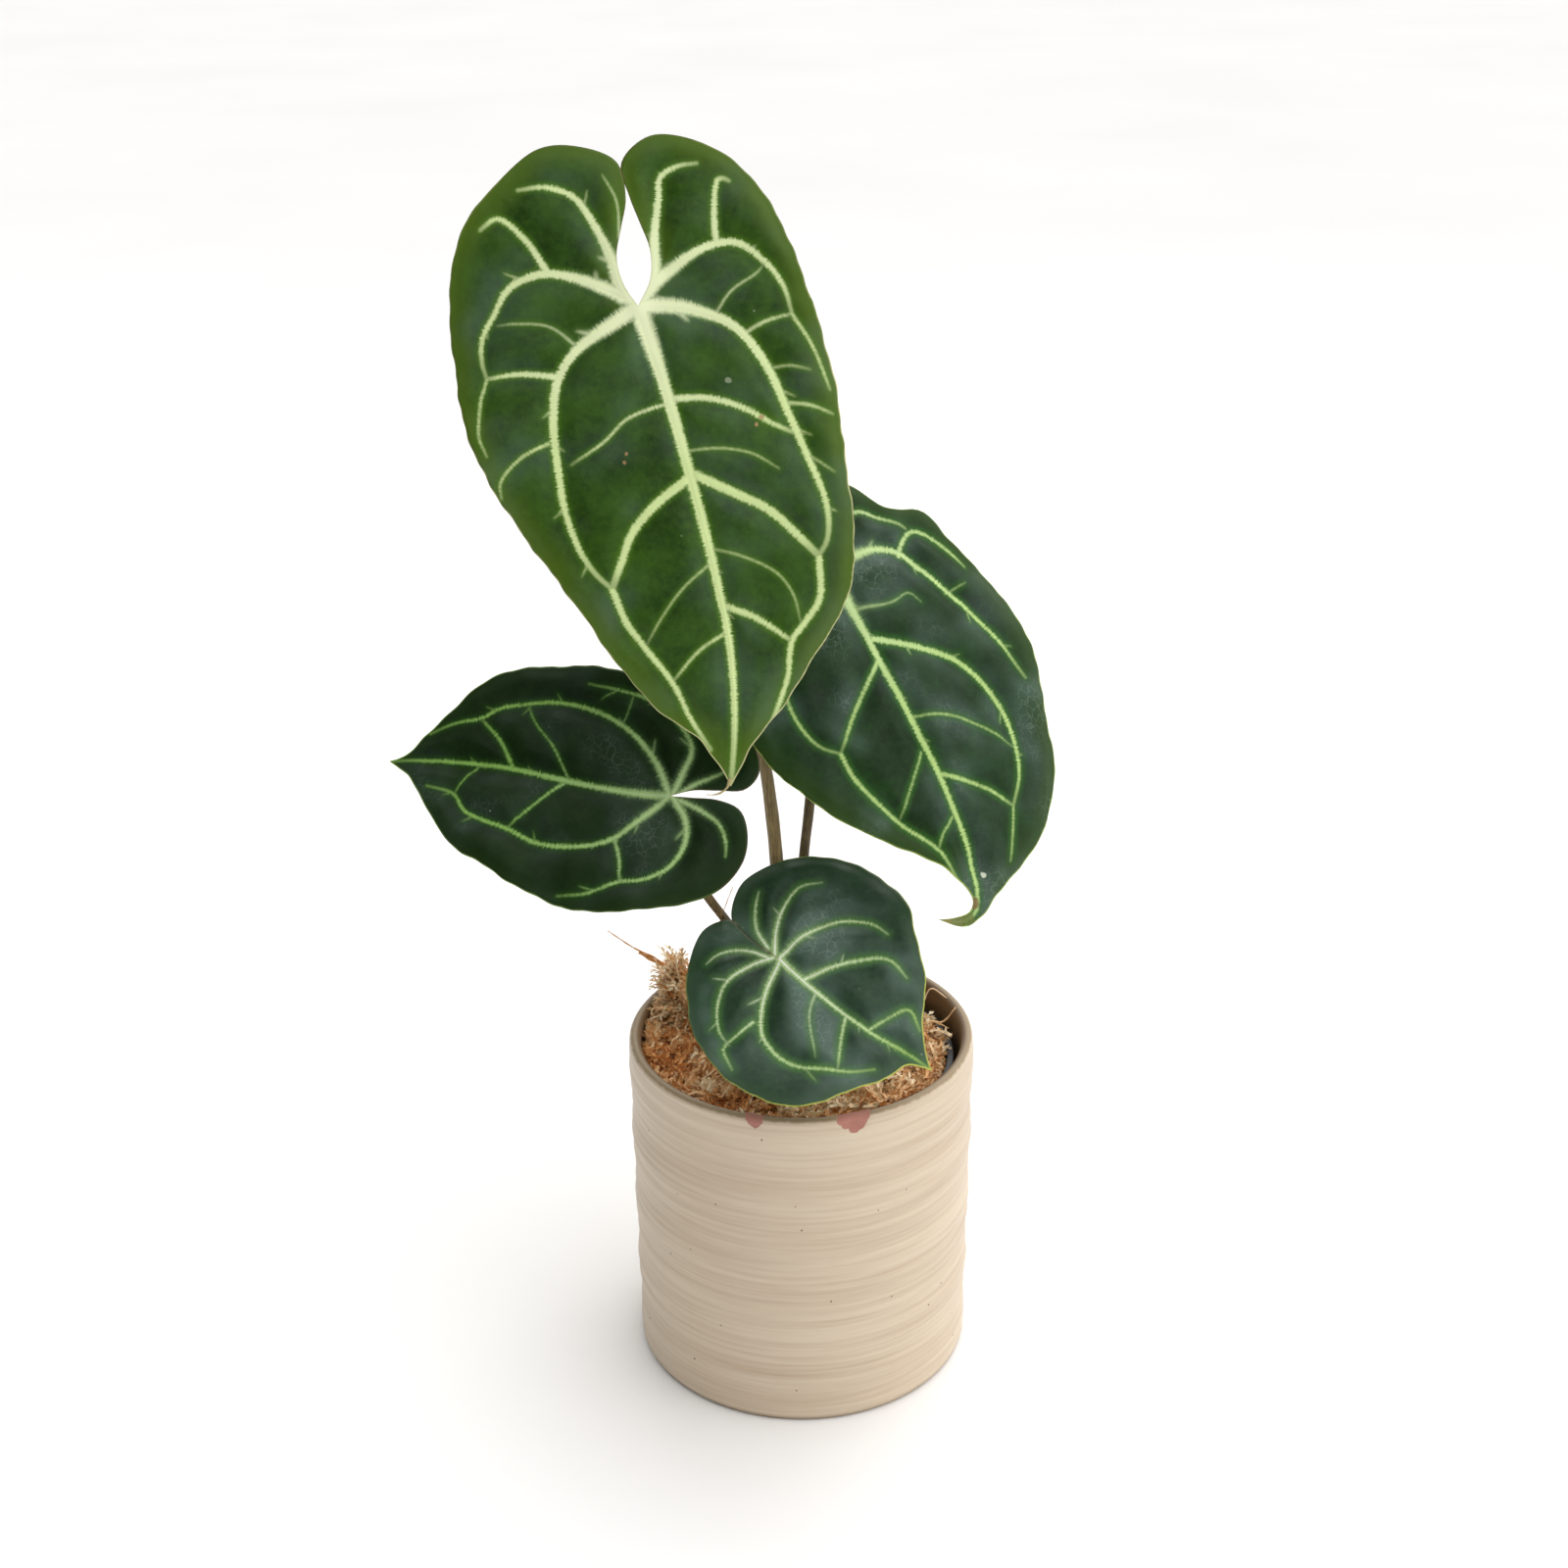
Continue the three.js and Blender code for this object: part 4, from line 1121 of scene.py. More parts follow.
@dataclass
class Blade:
    """One leaf blade: quilted between its veins, channelled along them, ribbed beneath."""

    name: str
    node: str
    slot: str
    form: LeafForm
    upper: LeafFinish
    lower: LeafFinish
    seed: int
    spacing: float = 1.4
    thickness: float = 0.8
    edge_thickness: float = 0.5
    pucker: float = 1.15
    pucker_width: float = 9.0
    rib_depth: float = 0.8
    rib_half_width: float = 3.0
    rib_full_depth: float = 2.3
    scallop: float = 0.22
    ripple: float = 0.3
    dents: tuple[tuple[float, float, float, float], ...] = ()

    def patch(
        self,
        bm: BMesh,
        inner: np.ndarray,
        outer: np.ndarray,
        width: float,
        sinus: float,
    ) -> None:
        """Lay one patch of the flat net between two lines of places.

        Args:
            bm: The bmesh that gets the patch.
            inner: Places on the midrib or on the lobe's vein, one for each row.
            outer: Places on the margin, one for each row.
            width: The patch's greatest width.
            sinus: 1 if its margin lines the notch between the lobes, or 0.
        """
        rows = len(inner) - 1
        columns = max(3, round(width / self.spacing))
        sinus_layer = bm.verts.layers.float["sinus"]
        made = bmesh.ops.create_grid(bm, x_segments=columns, y_segments=rows, size=1)["verts"]
        for corner in made:
            share = (corner.co.x + 1) / 2
            row = round((corner.co.y + 1) / 2 * rows)
            spot = inner[row] * (1 - share) + outer[row] * share
            corner.co = (spot[0], spot[1], 0)
            corner[sinus_layer] = sinus
        faces = {face for corner in made for face in corner.link_faces}
        turned = []
        for face in faces:
            face.normal_update()
            if face.normal.z > 0:
                turned.append(face)
        bmesh.ops.reverse_faces(bm, faces=turned)

    def scalloped(self, places: np.ndarray, flank: Flank) -> np.ndarray:
        """Set places on the margin in and out a little, as a living margin runs.

        Args:
            places: Rows of across and along on the margin.
            flank: The side of the blade that they belong to.

        Returns:
            The moved places.
        """
        x, y = places[:, 0], places[:, 1]
        still = np.ones(len(places))
        for anchor in (flank.margin[0], flank.margin[-1], flank.margin[flank.lobe_end]):
            still *= smoothstep(np.hypot(x - anchor[0], y - anchor[1]), 1, 16)
        phase = self.seed * 1.7
        across = np.sin(0.29 * y + phase) + 0.7 * np.sin(0.67 * y + 2 * phase)
        along = np.sin(0.33 * x + phase) + 0.7 * np.sin(0.71 * x + 3 * phase)
        return places + np.column_stack([across, along]) * (self.scallop * still)[:, None]

    def net(self) -> BMesh:
        """Lay out the whole blade flat, joined from its patches.

        Returns:
            The flat bmesh.
        """
        form = self.form
        bm = bmesh.new()
        bm.verts.layers.float.new("sinus")
        spine_curve = SmoothCurve(form.midrib)
        rows = round(spine_curve.length() / self.spacing)
        shares = np.linspace(0, 1, rows + 1)
        spine = spine_curve.between(spine_curve.last, 0, shares)
        for flank in form.flanks:
            margin = SmoothCurve(flank.margin)
            vein = SmoothCurve(flank.lobe_vein)
            lobe_rows = round(vein.length() / self.spacing)
            lobe_shares = np.linspace(0, 1, lobe_rows + 1)
            side = margin.between(margin.last, flank.waist, shares)
            lobe = vein.between(0, vein.last, lobe_shares)
            shoulder = margin.between(flank.waist, flank.lobe_end, lobe_shares)
            notch = margin.between(0, flank.lobe_end, lobe_shares)
            side, shoulder = (self.scalloped(line, flank) for line in (side, shoulder))
            self.patch(bm, spine, side, form.half_width, 0.0)
            self.patch(bm, lobe, shoulder, form.half_width, 0.0)
            self.patch(bm, lobe, notch, np.linalg.norm(lobe - notch, axis=1).max(), 1.0)
        bmesh.ops.remove_doubles(bm, verts=bm.verts, dist=0.02)
        return bm

    def refine(self, bm: BMesh, network: VeinNetwork) -> None:
        """Halve the net's spacing along the veins.

        Args:
            bm: The flat net.
            network: The blade's veins.
        """
        bm.verts.index_update()
        flat = np.array([corner.co[:2] for corner in bm.verts])
        near = network.read(flat).edge < 1.5
        edges = [edge for edge in bm.edges if all(near[end.index] for end in edge.verts)]
        bmesh.ops.subdivide_edges(bm, edges=edges, cuts=1, use_grid_fill=True)

    def margin_distance(self, flat: np.ndarray) -> np.ndarray:
        """Measure how far each flat place is from the margin.

        Args:
            flat: Rows of across and along.

        Returns:
            The distances.
        """
        trails = []
        for flank in self.form.flanks:
            curve = SmoothCurve(flank.margin)
            outer = self.scalloped(curve.at(np.linspace(flank.lobe_end, curve.last, 420)), flank)
            trails += [curve.at(np.linspace(0, flank.lobe_end, 120)), outer]
        outline = np.vstack(trails)
        parts = []
        for i in range(0, len(flat), 4000):
            away = flat[i : i + 4000, None, :] - outline[None, :, :]
            parts.append(np.sqrt((away**2).sum(2).min(1)))
        return np.concatenate(parts)

    def undulation(self, flat: np.ndarray) -> np.ndarray:
        """Sum a few slow ripples, and the blade's own dents.

        Args:
            flat: Rows of across and along.

        Returns:
            The height that each place is lifted by.
        """
        draw = np.random.default_rng(self.seed + 50)
        height = np.zeros(len(flat))
        for _ in range(9):
            pitch = 11 + 16 * draw.random()
            turn = 2 * math.pi * draw.random()
            phase = 2 * math.pi * draw.random()
            level = flat[:, 0] * math.cos(turn) + flat[:, 1] * math.sin(turn)
            height += np.sin(2 * math.pi * level / pitch + phase) / 3
        height *= self.ripple
        for x, y, radius, depth in self.dents:
            away = np.hypot(flat[:, 0] - x, flat[:, 1] - y)
            height -= depth * (1 - smoothstep(away, 0, radius))
        return height

    def build(self) -> Mesh:
        """Lift the flat net onto the curved sheet as a closed skin.

        Returns:
            The mesh, with the readings that its finishes use.
        """
        network = VeinNetwork(self.form, self.seed, self.pucker_width)
        bm = self.net()
        self.refine(bm, network)
        bmesh.ops.solidify(bm, geom=list(bm.faces), thickness=1.0)
        beneath = np.array([abs(corner.co.z) > 0.5 for corner in bm.verts])
        sinus_layer = bm.verts.layers.float["sinus"]
        sinus = np.array([corner[sinus_layer] for corner in bm.verts])
        for face in bm.faces:
            face.material_index = int(all(abs(corner.co.z) > 0.5 for corner in face.verts))
        mesh = mesh_from(bm, self.name)
        flat = places_of(mesh)[:, :2]
        readings = network.read(flat)
        margin = self.margin_distance(flat)
        inland = smoothstep(margin, 0, 6)
        ridge = 0.3 * smoothstep(-readings.edge, 0.2, 1.6)
        relief = (self.pucker - readings.sunk + ridge) * inland
        relief += self.undulation(flat) * (0.4 + 0.6 * inland)
        rib = self.rib_depth * (1 - smoothstep(readings.middle, 0, self.rib_half_width))
        rib *= readings.sunk / self.rib_full_depth * inland
        wall = self.edge_thickness + (self.thickness - self.edge_thickness) * inland
        point, normal = Sheet(self.form).at(flat)
        depth = relief - np.where(beneath, wall + rib, 0)
        move_vertices(mesh, (point + normal * depth[:, None]) * MM)
        kept = {
            Reading.FLAT: np.column_stack([flat, beneath * PATTERN_SHIFT_MM]),
            Reading.VEIN_EDGE: readings.edge, Reading.VEIN_RUN: readings.run,
            Reading.VEIN_PALE: readings.pale, Reading.VEIN_MIDDLE: readings.middle,
            Reading.MARGIN: margin, Reading.SINUS: sinus,
        }
        for reading, values in kept.items():
            write_attribute(mesh, reading.value, values)
        return mesh

    def dress(self) -> Object:
        """Build the blade and give it its two faces' finishes.

        Returns:
            The blade's object.
        """
        materials = [self.upper.make(), self.lower.make()]
        return place_piece(self.build(), materials, self.node)


# Stem and stalks


@dataclass
class Stalk:
    """One leaf stalk: tapered, swollen at the knee under its blade and trimmed against it."""

    form: LeafForm
    radius: float
    base_radius: float
    route: tuple[Place, ...]
    # Lightens or darkens the whole stalk: painted light where positive, painted shade where
    # negative.
    shade: float = 0.0
    knee_length: float = 18.0
    knee_drop: float = 7.0
    knee_swell: float = 1.25
    sides: int = 24
    step: float = 2.5
    seat_depth: float = 1.6

    def add_to(self, bm: BMesh) -> None:
        """Add the stalk to the stem's bmesh.

        Args:
            bm: The bmesh, in millimetres.
        """
        point, normal = Sheet(self.form).at(np.array([[0.0, self.radius + 1]]))
        seat, facing = point[0], normal[0]
        rise = seat - np.array(self.route[-1])
        rise /= np.linalg.norm(rise)
        knee = seat - facing * self.knee_drop - rise * self.knee_length / 2
        curve = SmoothCurve([*self.route, knee, seat])
        length = curve.length()
        shares = np.linspace(0, 1, round(length / self.step) + 1)
        trail = curve.between(0, curve.last, shares)
        taper = np.minimum(1, 2.5 * shares)
        radii = self.base_radius + (self.radius - self.base_radius) * taper
        swell = smoothstep(length * (1 - shares), 0, self.knee_length)
        radii = radii * (self.knee_swell + (1 - self.knee_swell) * swell)
        wobble = 1 + 0.02 * np.sin(shares * length / 7.0) + 0.015 * np.sin(shares * length / 2.9)
        axis = Vector(facing)
        shade_layer = bm.verts.layers.float["shade"]
        for corner in sweep(bm, trail, radii * wobble, self.sides):
            corner[shade_layer] = self.shade
            over = (corner.co - Vector(seat)).dot(axis) + self.seat_depth
            if over > 0:
                corner.co -= axis * over


@dataclass
class Crown:
    """The short stem with its four stalks and the dry sheaths left at their bases."""

    stalks: tuple[Stalk, ...]
    finish: StalkFinish
    sheath_finish: MossFinish
    place: Flat = (-2.0, 7.0)
    radius: float = 6.5
    bottom: float = 100.0
    top: float = 139.0
    sides: int = 40
    seed: int = 31

    def stem(self, bm: BMesh) -> None:
        """Add the stem, ringed with the scars of old leaves.

        Args:
            bm: The bmesh, in millimetres.
        """
        height = np.linspace(self.bottom, self.top, 34)
        trail = np.column_stack([np.full(34, self.place[0]), np.full(34, self.place[1]), height])
        ends = smoothstep(height, self.bottom - 1, self.bottom + 6)
        ends *= 1 - smoothstep(height, self.top - 6, self.top + 3)
        scars = 1 - 0.07 * np.maximum(0, np.sin(height * 2 * math.pi / 6.5)) ** 4
        sweep(bm, trail, self.radius * (0.55 + 0.45 * ends) * scars, self.sides)

    def build(self) -> Mesh:
        """Join the stem and the stalks in one mesh.

        Returns:
            The mesh, with its lengthwise readings.
        """
        bm = bmesh.new()
        bm.verts.layers.float.new("ring")
        bm.verts.layers.float.new("turn")
        bm.verts.layers.float.new("shade")
        self.stem(bm)
        for stalk in self.stalks:
            stalk.add_to(bm)
        ring = bm.verts.layers.float["ring"]
        rise = np.array([corner[ring] for corner in bm.verts])
        mesh = mesh_from(bm, "plant_stalks", MM)
        write_attribute(mesh, "rise", rise)
        write_attribute(mesh, "wrap", places_of(mesh) / MM)
        return mesh

    def sheath(self, bm: BMesh, draw: np.random.Generator, turn: float) -> None:
        """Add one papery sheath: a curved strip that tapers to a torn tip.

        Args:
            bm: The bmesh, in millimetres.
            draw: The random draw.
            turn: Where round the stem it stands, in radians.
        """
        height = 16 + 20 * draw.random()
        width = 0.9 + 0.5 * draw.random()
        lean = 3 + 8 * draw.random()
        foot = self.top - 14 + 6 * draw.random()
        made = bmesh.ops.create_grid(bm, x_segments=8, y_segments=14, size=1)["verts"]
        for corner in made:
            up = (corner.co.y + 1) / 2
            angle = turn + width * corner.co.x * (1 - up**1.6) + 0.3 * up * math.sin(5 * turn)
            reach = self.radius + 0.9 + lean * up**2 + 0.4 * math.sin(9 * corner.co.x + 6 * up)
            corner.co = (
                self.place[0] + reach * math.cos(angle),
                self.place[1] + reach * math.sin(angle),
                foot + height * up * (1 - 0.15 * abs(corner.co.x)),
            )

    def dress(self) -> list[Object]:
        """Build and finish the crown.

        Returns:
            The stalks and the sheaths.
        """
        stalks = place_piece(self.build(), [self.finish.make()], "stem_and_stalks")
        draw = np.random.default_rng(self.seed)
        bm = bmesh.new()
        for number in range(5):
            self.sheath(bm, draw, 0.4 + number * 2 * math.pi / 5 + 0.5 * draw.random())
        bmesh.ops.solidify(bm, geom=list(bm.faces), thickness=0.3)
        mesh = mesh_from(bm, "stem_sheaths", MM)
        height = places_of(mesh)[:, 2] / MM
        write_attribute(mesh, "tone", 0.25 + 0.3 * smoothstep(height, self.top, self.top + 25))
        return [stalks, place_piece(mesh, [self.sheath_finish.make()])]


# Moss


@dataclass
class MossBed:
    """The lumpy mound of moss that fills the grow pot, and the height of its top."""

    edge: float = 126.5
    crown: float = 135.0
    lump: float = 2.4
    radius: float = 53.5
    wall_radius: float = 57.6
    depth: float = 24.0
    rings: int = 44
    segments: int = 120

    def height(self, x: np.ndarray, y: np.ndarray) -> np.ndarray:
        """Read the mound's height, as in the CAD source.

        Args:
            x: Places in millimetres.
            y: Places in millimetres.

        Returns:
            The height at each.
        """
        dome = smoothstep(np.hypot(x, y), 0, self.radius)
        lumps = (
            np.sin(0.21 * x + 1.7) * np.sin(0.19 * y + 0.6)
            + 0.6 * np.sin(0.37 * x - 0.31 * y)
            + 0.4 * np.sin(0.52 * x + 0.45 * y + 2)
        )
        return self.crown + (self.edge - self.crown) * dome + self.lump * lumps * 0.5

    def dress(self, finish: MossFinish) -> Object:
        """Spin the mound and roughen it with small tufts.

        Args:
            finish: Its finish.

        Returns:
            The mound's object.
        """
        bm = bmesh.new()
        reach = np.linspace(0, self.wall_radius - 0.6, self.rings)
        top = [bm.verts.new((value, 0, 0)) for value in reach]
        top.append(bm.verts.new((self.wall_radius - 0.6, 0, -self.depth)))
        edges = [bm.edges.new(pair) for pair in zip(top, top[1:])]
        spin_round(bm, [*top, *edges], self.segments)
        bmesh.ops.holes_fill(bm, edges=bm.edges, sides=0)
        bmesh.ops.recalc_face_normals(bm, faces=bm.faces)
        mesh = mesh_from(bm, "moss_mound")
        places = places_of(mesh)
        x, y = places[:, 0], places[:, 1]
        fuzz = np.sin(1.9 * x + 2.3 * np.sin(0.7 * y)) * np.sin(2.1 * y + 1.7 * np.sin(0.9 * x))
        surface = self.height(x, y) - 1.6 + 0.7 * fuzz
        places[:, 2] = np.where(places[:, 2] > -1, surface, self.edge - self.depth)
        move_vertices(mesh, places * MM)
        write_attribute(mesh, "tone", 0.3 + 0.15 * fuzz)
        return place_piece(mesh, [finish.make()], "moss")


@dataclass
class StrandField:
    """Hundreds of moss strands, each a thin stem shingled with small pointed leaves."""

    name: str
    bed: MossBed
    finish: MossFinish
    count: int
    seed: int
    length: Flat = (9.0, 24.0)
    girth: Flat = (0.55, 1.2)
    tone: float = 0.5
    leaves: int = 16
    joints: int = 6
    lift: float = 3.5

    def template(self) -> Mesh:
        """Model one straight strand of unit length and girth along z.

        Returns:
            The strand's mesh.
        """
        draw = np.random.default_rng(self.seed + 900)
        bm = bmesh.new()
        stem = bmesh.ops.create_grid(bm, x_segments=3, y_segments=self.joints, size=1)["verts"]
        for corner in stem:
            along = (corner.co.y + 1) / 2
            angle = math.pi * corner.co.x
            radius = 1.0 - 0.75 * along
            corner.co = (radius * math.cos(angle), radius * math.sin(angle), along)
        for number in range(self.leaves):
            along = 0.03 + 0.92 * number / self.leaves
            turn = Matrix.Rotation(number * GOLDEN_ANGLE, 4, "Z")
            leaf = bmesh.ops.create_circle(bm, segments=4, radius=1, cap_ends=True)["verts"]
            reach = (2.4 + 1.8 * draw.random()) * (1 - 0.45 * along)
            for corner in leaf:
                outward = reach * (0.5 + 0.5 * corner.co.x)
                width = 0.95 * corner.co.y * (1 - 0.3 * along)
                slant = 0.045 * (1 + corner.co.x)
                corner.co = turn @ Vector((0.3 + outward, width, along + slant))
        return mesh_from(bm, self.name + "_strand")

    def trails(self, draw: np.random.Generator) -> np.ndarray:
        """Lay the middle of every strand over the mound.

        Args:
            draw: The random draw.

        Returns:
            Strands by joints by x, y and z, in millimetres.
        """
        count, joints = self.count, self.joints
        radius = STRAND_BED_MM * np.sqrt(draw.random(count))
        angle = 2 * math.pi * draw.random(count)
        heading = 2 * math.pi * draw.random(count)
        curl = draw.normal(0, 1.3, count)
        length = draw.uniform(*self.length, count)
        share = np.linspace(0, 1, joints + 1)[None, :]
        bearing = heading[:, None] + curl[:, None] * (share - 0.5)
        bearing = bearing + 0.35 * np.sin(7 * share + heading[:, None] * 3)
        step = (length / joints)[:, None]
        x = radius[:, None] * np.cos(angle)[:, None] + np.cumsum(step * np.cos(bearing), 1)
        y = radius[:, None] * np.sin(angle)[:, None] + np.cumsum(step * np.sin(bearing), 1)
        x -= (x[:, -1:] - x[:, :1]) / 2
        y -= (y[:, -1:] - y[:, :1]) / 2
        arch = self.lift * draw.random(count)[:, None] ** 1.5
        tilt = draw.normal(0, 2.2, count)[:, None]
        layer = draw.uniform(-0.8, 3.2, count)[:, None]
        lift = layer + arch * np.sin(math.pi * share) + tilt * (share - 0.5)
        lift = lift + 0.5 * np.sin(9 * share + heading[:, None])
        return self.kept_inside(np.stack([x, y, self.bed.height(x, y) + lift], axis=2))

    def kept_inside(self, trails: np.ndarray) -> np.ndarray:
        """Draw strands in where they would cross the grow pot or the cachepot.

        Args:
            trails: Strands by joints by x, y and z, in millimetres.

        Returns:
            The same, moved.
        """
        height = trails[:, :, 2]
        # Within the grow pot up to its rim, then within the cachepot, and free above its lip.
        limit = 56.6 + 5 * smoothstep(height, 130.2, 131.5) + 40 * smoothstep(height, 142, 150)
        reach = np.hypot(trails[:, :, 0], trails[:, :, 1])
        trails[:, :, :2] *= np.minimum(1, limit / np.maximum(reach, 1))[:, :, None]
        return trails

    def tones(self, trails: np.ndarray, draw: np.random.Generator) -> np.ndarray:
        """Choose each strand's tone: rusty at the left, paler straw at the right.

        Args:
            trails: The strands' middles.
            draw: The random draw.

        Returns:
            One tone for each strand, from 0 to 1.
        """
        x, y = trails[:, 3, 0], trails[:, 3, 1]
        drift = 0.12 * np.sin(x / 9 + 2 * np.sin(y / 13)) + 0.1 * x / 60
        return np.clip(self.tone + drift + draw.normal(0, 0.17, len(trails)), 0.03, 1)

    def build(self) -> Mesh:
        """Repeat the strand along every trail.

        Returns:
            One mesh with all the strands.
        """
        draw = np.random.default_rng(self.seed)
        single = self.template()
        unit = places_of(single)
        trails = self.trails(draw)
        bm = bmesh.new()
        for _ in range(len(trails)):
            bm.from_mesh(single)
        bpy.data.meshes.remove(single)
        mesh = mesh_from(bm, self.name)
        joints = trails.shape[1] - 1
        along = np.clip(unit[:, 2], 0, 1) * joints
        index = np.minimum(along.astype(int), joints - 1)
        share = (along - index)[None, :, None]
        middle = trails[:, index] * (1 - share) + trails[:, index + 1] * share
        tangent = np.gradient(trails, axis=1)
        tangent /= np.linalg.norm(tangent, axis=2, keepdims=True)
        tangent = tangent[:, index] * (1 - share) + tangent[:, index + 1] * share
        side = np.cross(tangent, np.array([0.12, 0.05, 1.0]))
        side /= np.linalg.norm(side, axis=2, keepdims=True)
        over = np.cross(side, tangent)
        girth = draw.uniform(*self.girth, len(trails))[:, None, None]
        places = middle + (side * unit[None, :, 0:1] + over * unit[None, :, 1:2]) * girth
        move_vertices(mesh, places.reshape(-1, 3) * MM)
        tone = np.repeat(self.tones(trails, draw), len(unit))
        write_attribute(mesh, "tone", tone)
        return mesh

    def dress(self) -> Object:
        """Build the strands and give them their finish.

        Returns:
            The strands' object.
        """
        return place_piece(self.build(), [self.finish.make()])


@dataclass
class SpillField(StrandField):
    """Strands that lie over the grow pot's rim, against the wall of the cachepot."""

    arc: Flat = (115.0, 325.0)
    ring: Flat = (54.0, 61.5)
    level: Flat = (131.2, 136.5)

    def trails(self, draw: np.random.Generator) -> np.ndarray:
        """Lay the middle of every strand along the rim.

        Args:
            draw: The random draw.

        Returns:
            Strands by joints by x, y and z, in millimetres.
        """
        count = self.count
        share = np.linspace(0, 1, self.joints + 1)[None, :]
        bearing = np.radians(draw.uniform(*self.arc, count))
        radius = draw.uniform(*self.ring, count)
        turn = bearing + math.pi / 2 + draw.normal(0, 0.8, count)
        turn = turn + math.pi * draw.integers(0, 2, count)
        swing = turn[:, None] + 0.7 * np.sin(4 * share + 20 * bearing[:, None])
        step = draw.uniform(*self.length, count)[:, None] / self.joints
        x = (radius * np.cos(bearing))[:, None] + np.cumsum(step * np.cos(swing), 1)
        y = (radius * np.sin(bearing))[:, None] + np.cumsum(step * np.sin(swing), 1)
        slope = draw.normal(0, 1.0, count)[:, None] * (share - 0.5)
        lift = draw.uniform(*self.level, count)[:, None] + slope
        height = np.maximum(lift + 0.6 * np.sin(8 * share + 9 * bearing[:, None]), 131.0)
        return self.kept_inside(np.stack([x, y, height], axis=2))


@dataclass
class TuftField(StrandField):
    """The shaggy pile at the back left, its strands rising and leaning outward."""

    place: Flat = (-49.0, 28.0)
    spread: Flat = (8.0, 14.0)
    rise: Flat = (12.0, 38.0)
    lean: float = 12.0

    def trails(self, draw: np.random.Generator) -> np.ndarray:
        """Raise the middle of every strand of the pile.

        Args:
            draw: The random draw.

        Returns:
            Strands by joints by x, y and z, in millimetres.
        """
        count = self.count
        reach = np.sqrt(draw.random(count))
        turn = 2 * math.pi * draw.random(count)
        x0 = self.place[0] + self.spread[0] * reach * np.cos(turn)
        y0 = self.place[1] + self.spread[1] * reach * np.sin(turn)
        share = np.linspace(0, 1, self.joints + 1)[None, :]
        top = draw.uniform(*self.rise, count) * (1.1 - 0.6 * reach)
        out = np.arctan2(y0, x0) + draw.normal(0, 1.2, count)
        lean = self.lean * draw.random(count)
        drift = lean[:, None] * share**1.5
        curl = 2.6 * np.sin(5 * share + 9 * turn[:, None]) * share
        x = x0[:, None] + drift * np.cos(out)[:, None] - curl * np.sin(out)[:, None]
        y = y0[:, None] + drift * np.sin(out)[:, None] + curl * np.cos(out)[:, None]
        foot = self.bed.height(x0, y0)[:, None] - 2 + 0.45 * top[:, None]
        nod = 0.8 * lean[:, None] * np.maximum(0, share - 0.5)
        z = foot + 0.55 * top[:, None] * share - nod
        return self.kept_inside(np.stack([x, y, z], axis=2))


@dataclass(frozen=True)
class Fibre:
    """One bare rootlet or fibre that stands clear of the moss."""

    points: tuple[Place, ...]
    thickness: Flat = (0.7, 0.25)
    tone: float = 0.55


@dataclass
class Rootlets:
    """The loose fibres and forked rootlets that stick out of the moss."""

    fibres: tuple[Fibre, ...]
    finish: MossFinish
    name: str = "moss_rootlets"
    slot: str = "moss"

    def dress(self) -> Object:
        """Sweep every fibre and give them their finish.

        Returns:
            The rootlets' object.
        """
        bm = bmesh.new()
        tone_layer = bm.verts.layers.float.new("tone")
        for fibre in self.fibres:
            curve = SmoothCurve(fibre.points)
            shares = np.linspace(0, 1, max(8, round(curve.length() / 1.5)))
            radii = np.linspace(fibre.thickness[0], fibre.thickness[1], len(shares)) / 2
            knots = 1 + 0.25 * np.sin(shares * curve.length() * 1.1)
            trail = curve.between(0, curve.last, shares)
            for corner in sweep(bm, trail, radii * knots, 6):
                corner[tone_layer] = fibre.tone
        tones = np.array([corner[tone_layer] for corner in bm.verts])
        mesh = mesh_from(bm, self.name, MM)
        write_attribute(mesh, "tone", tones)
        return place_piece(mesh, [self.finish.make()])


# Pots


@dataclass(frozen=True)
class Groove:
    """A ring that a finger or a tool left: height, depth, width and where it is deepest."""

    height: float
    depth: float
    width: float
    bearing: float = 0.0


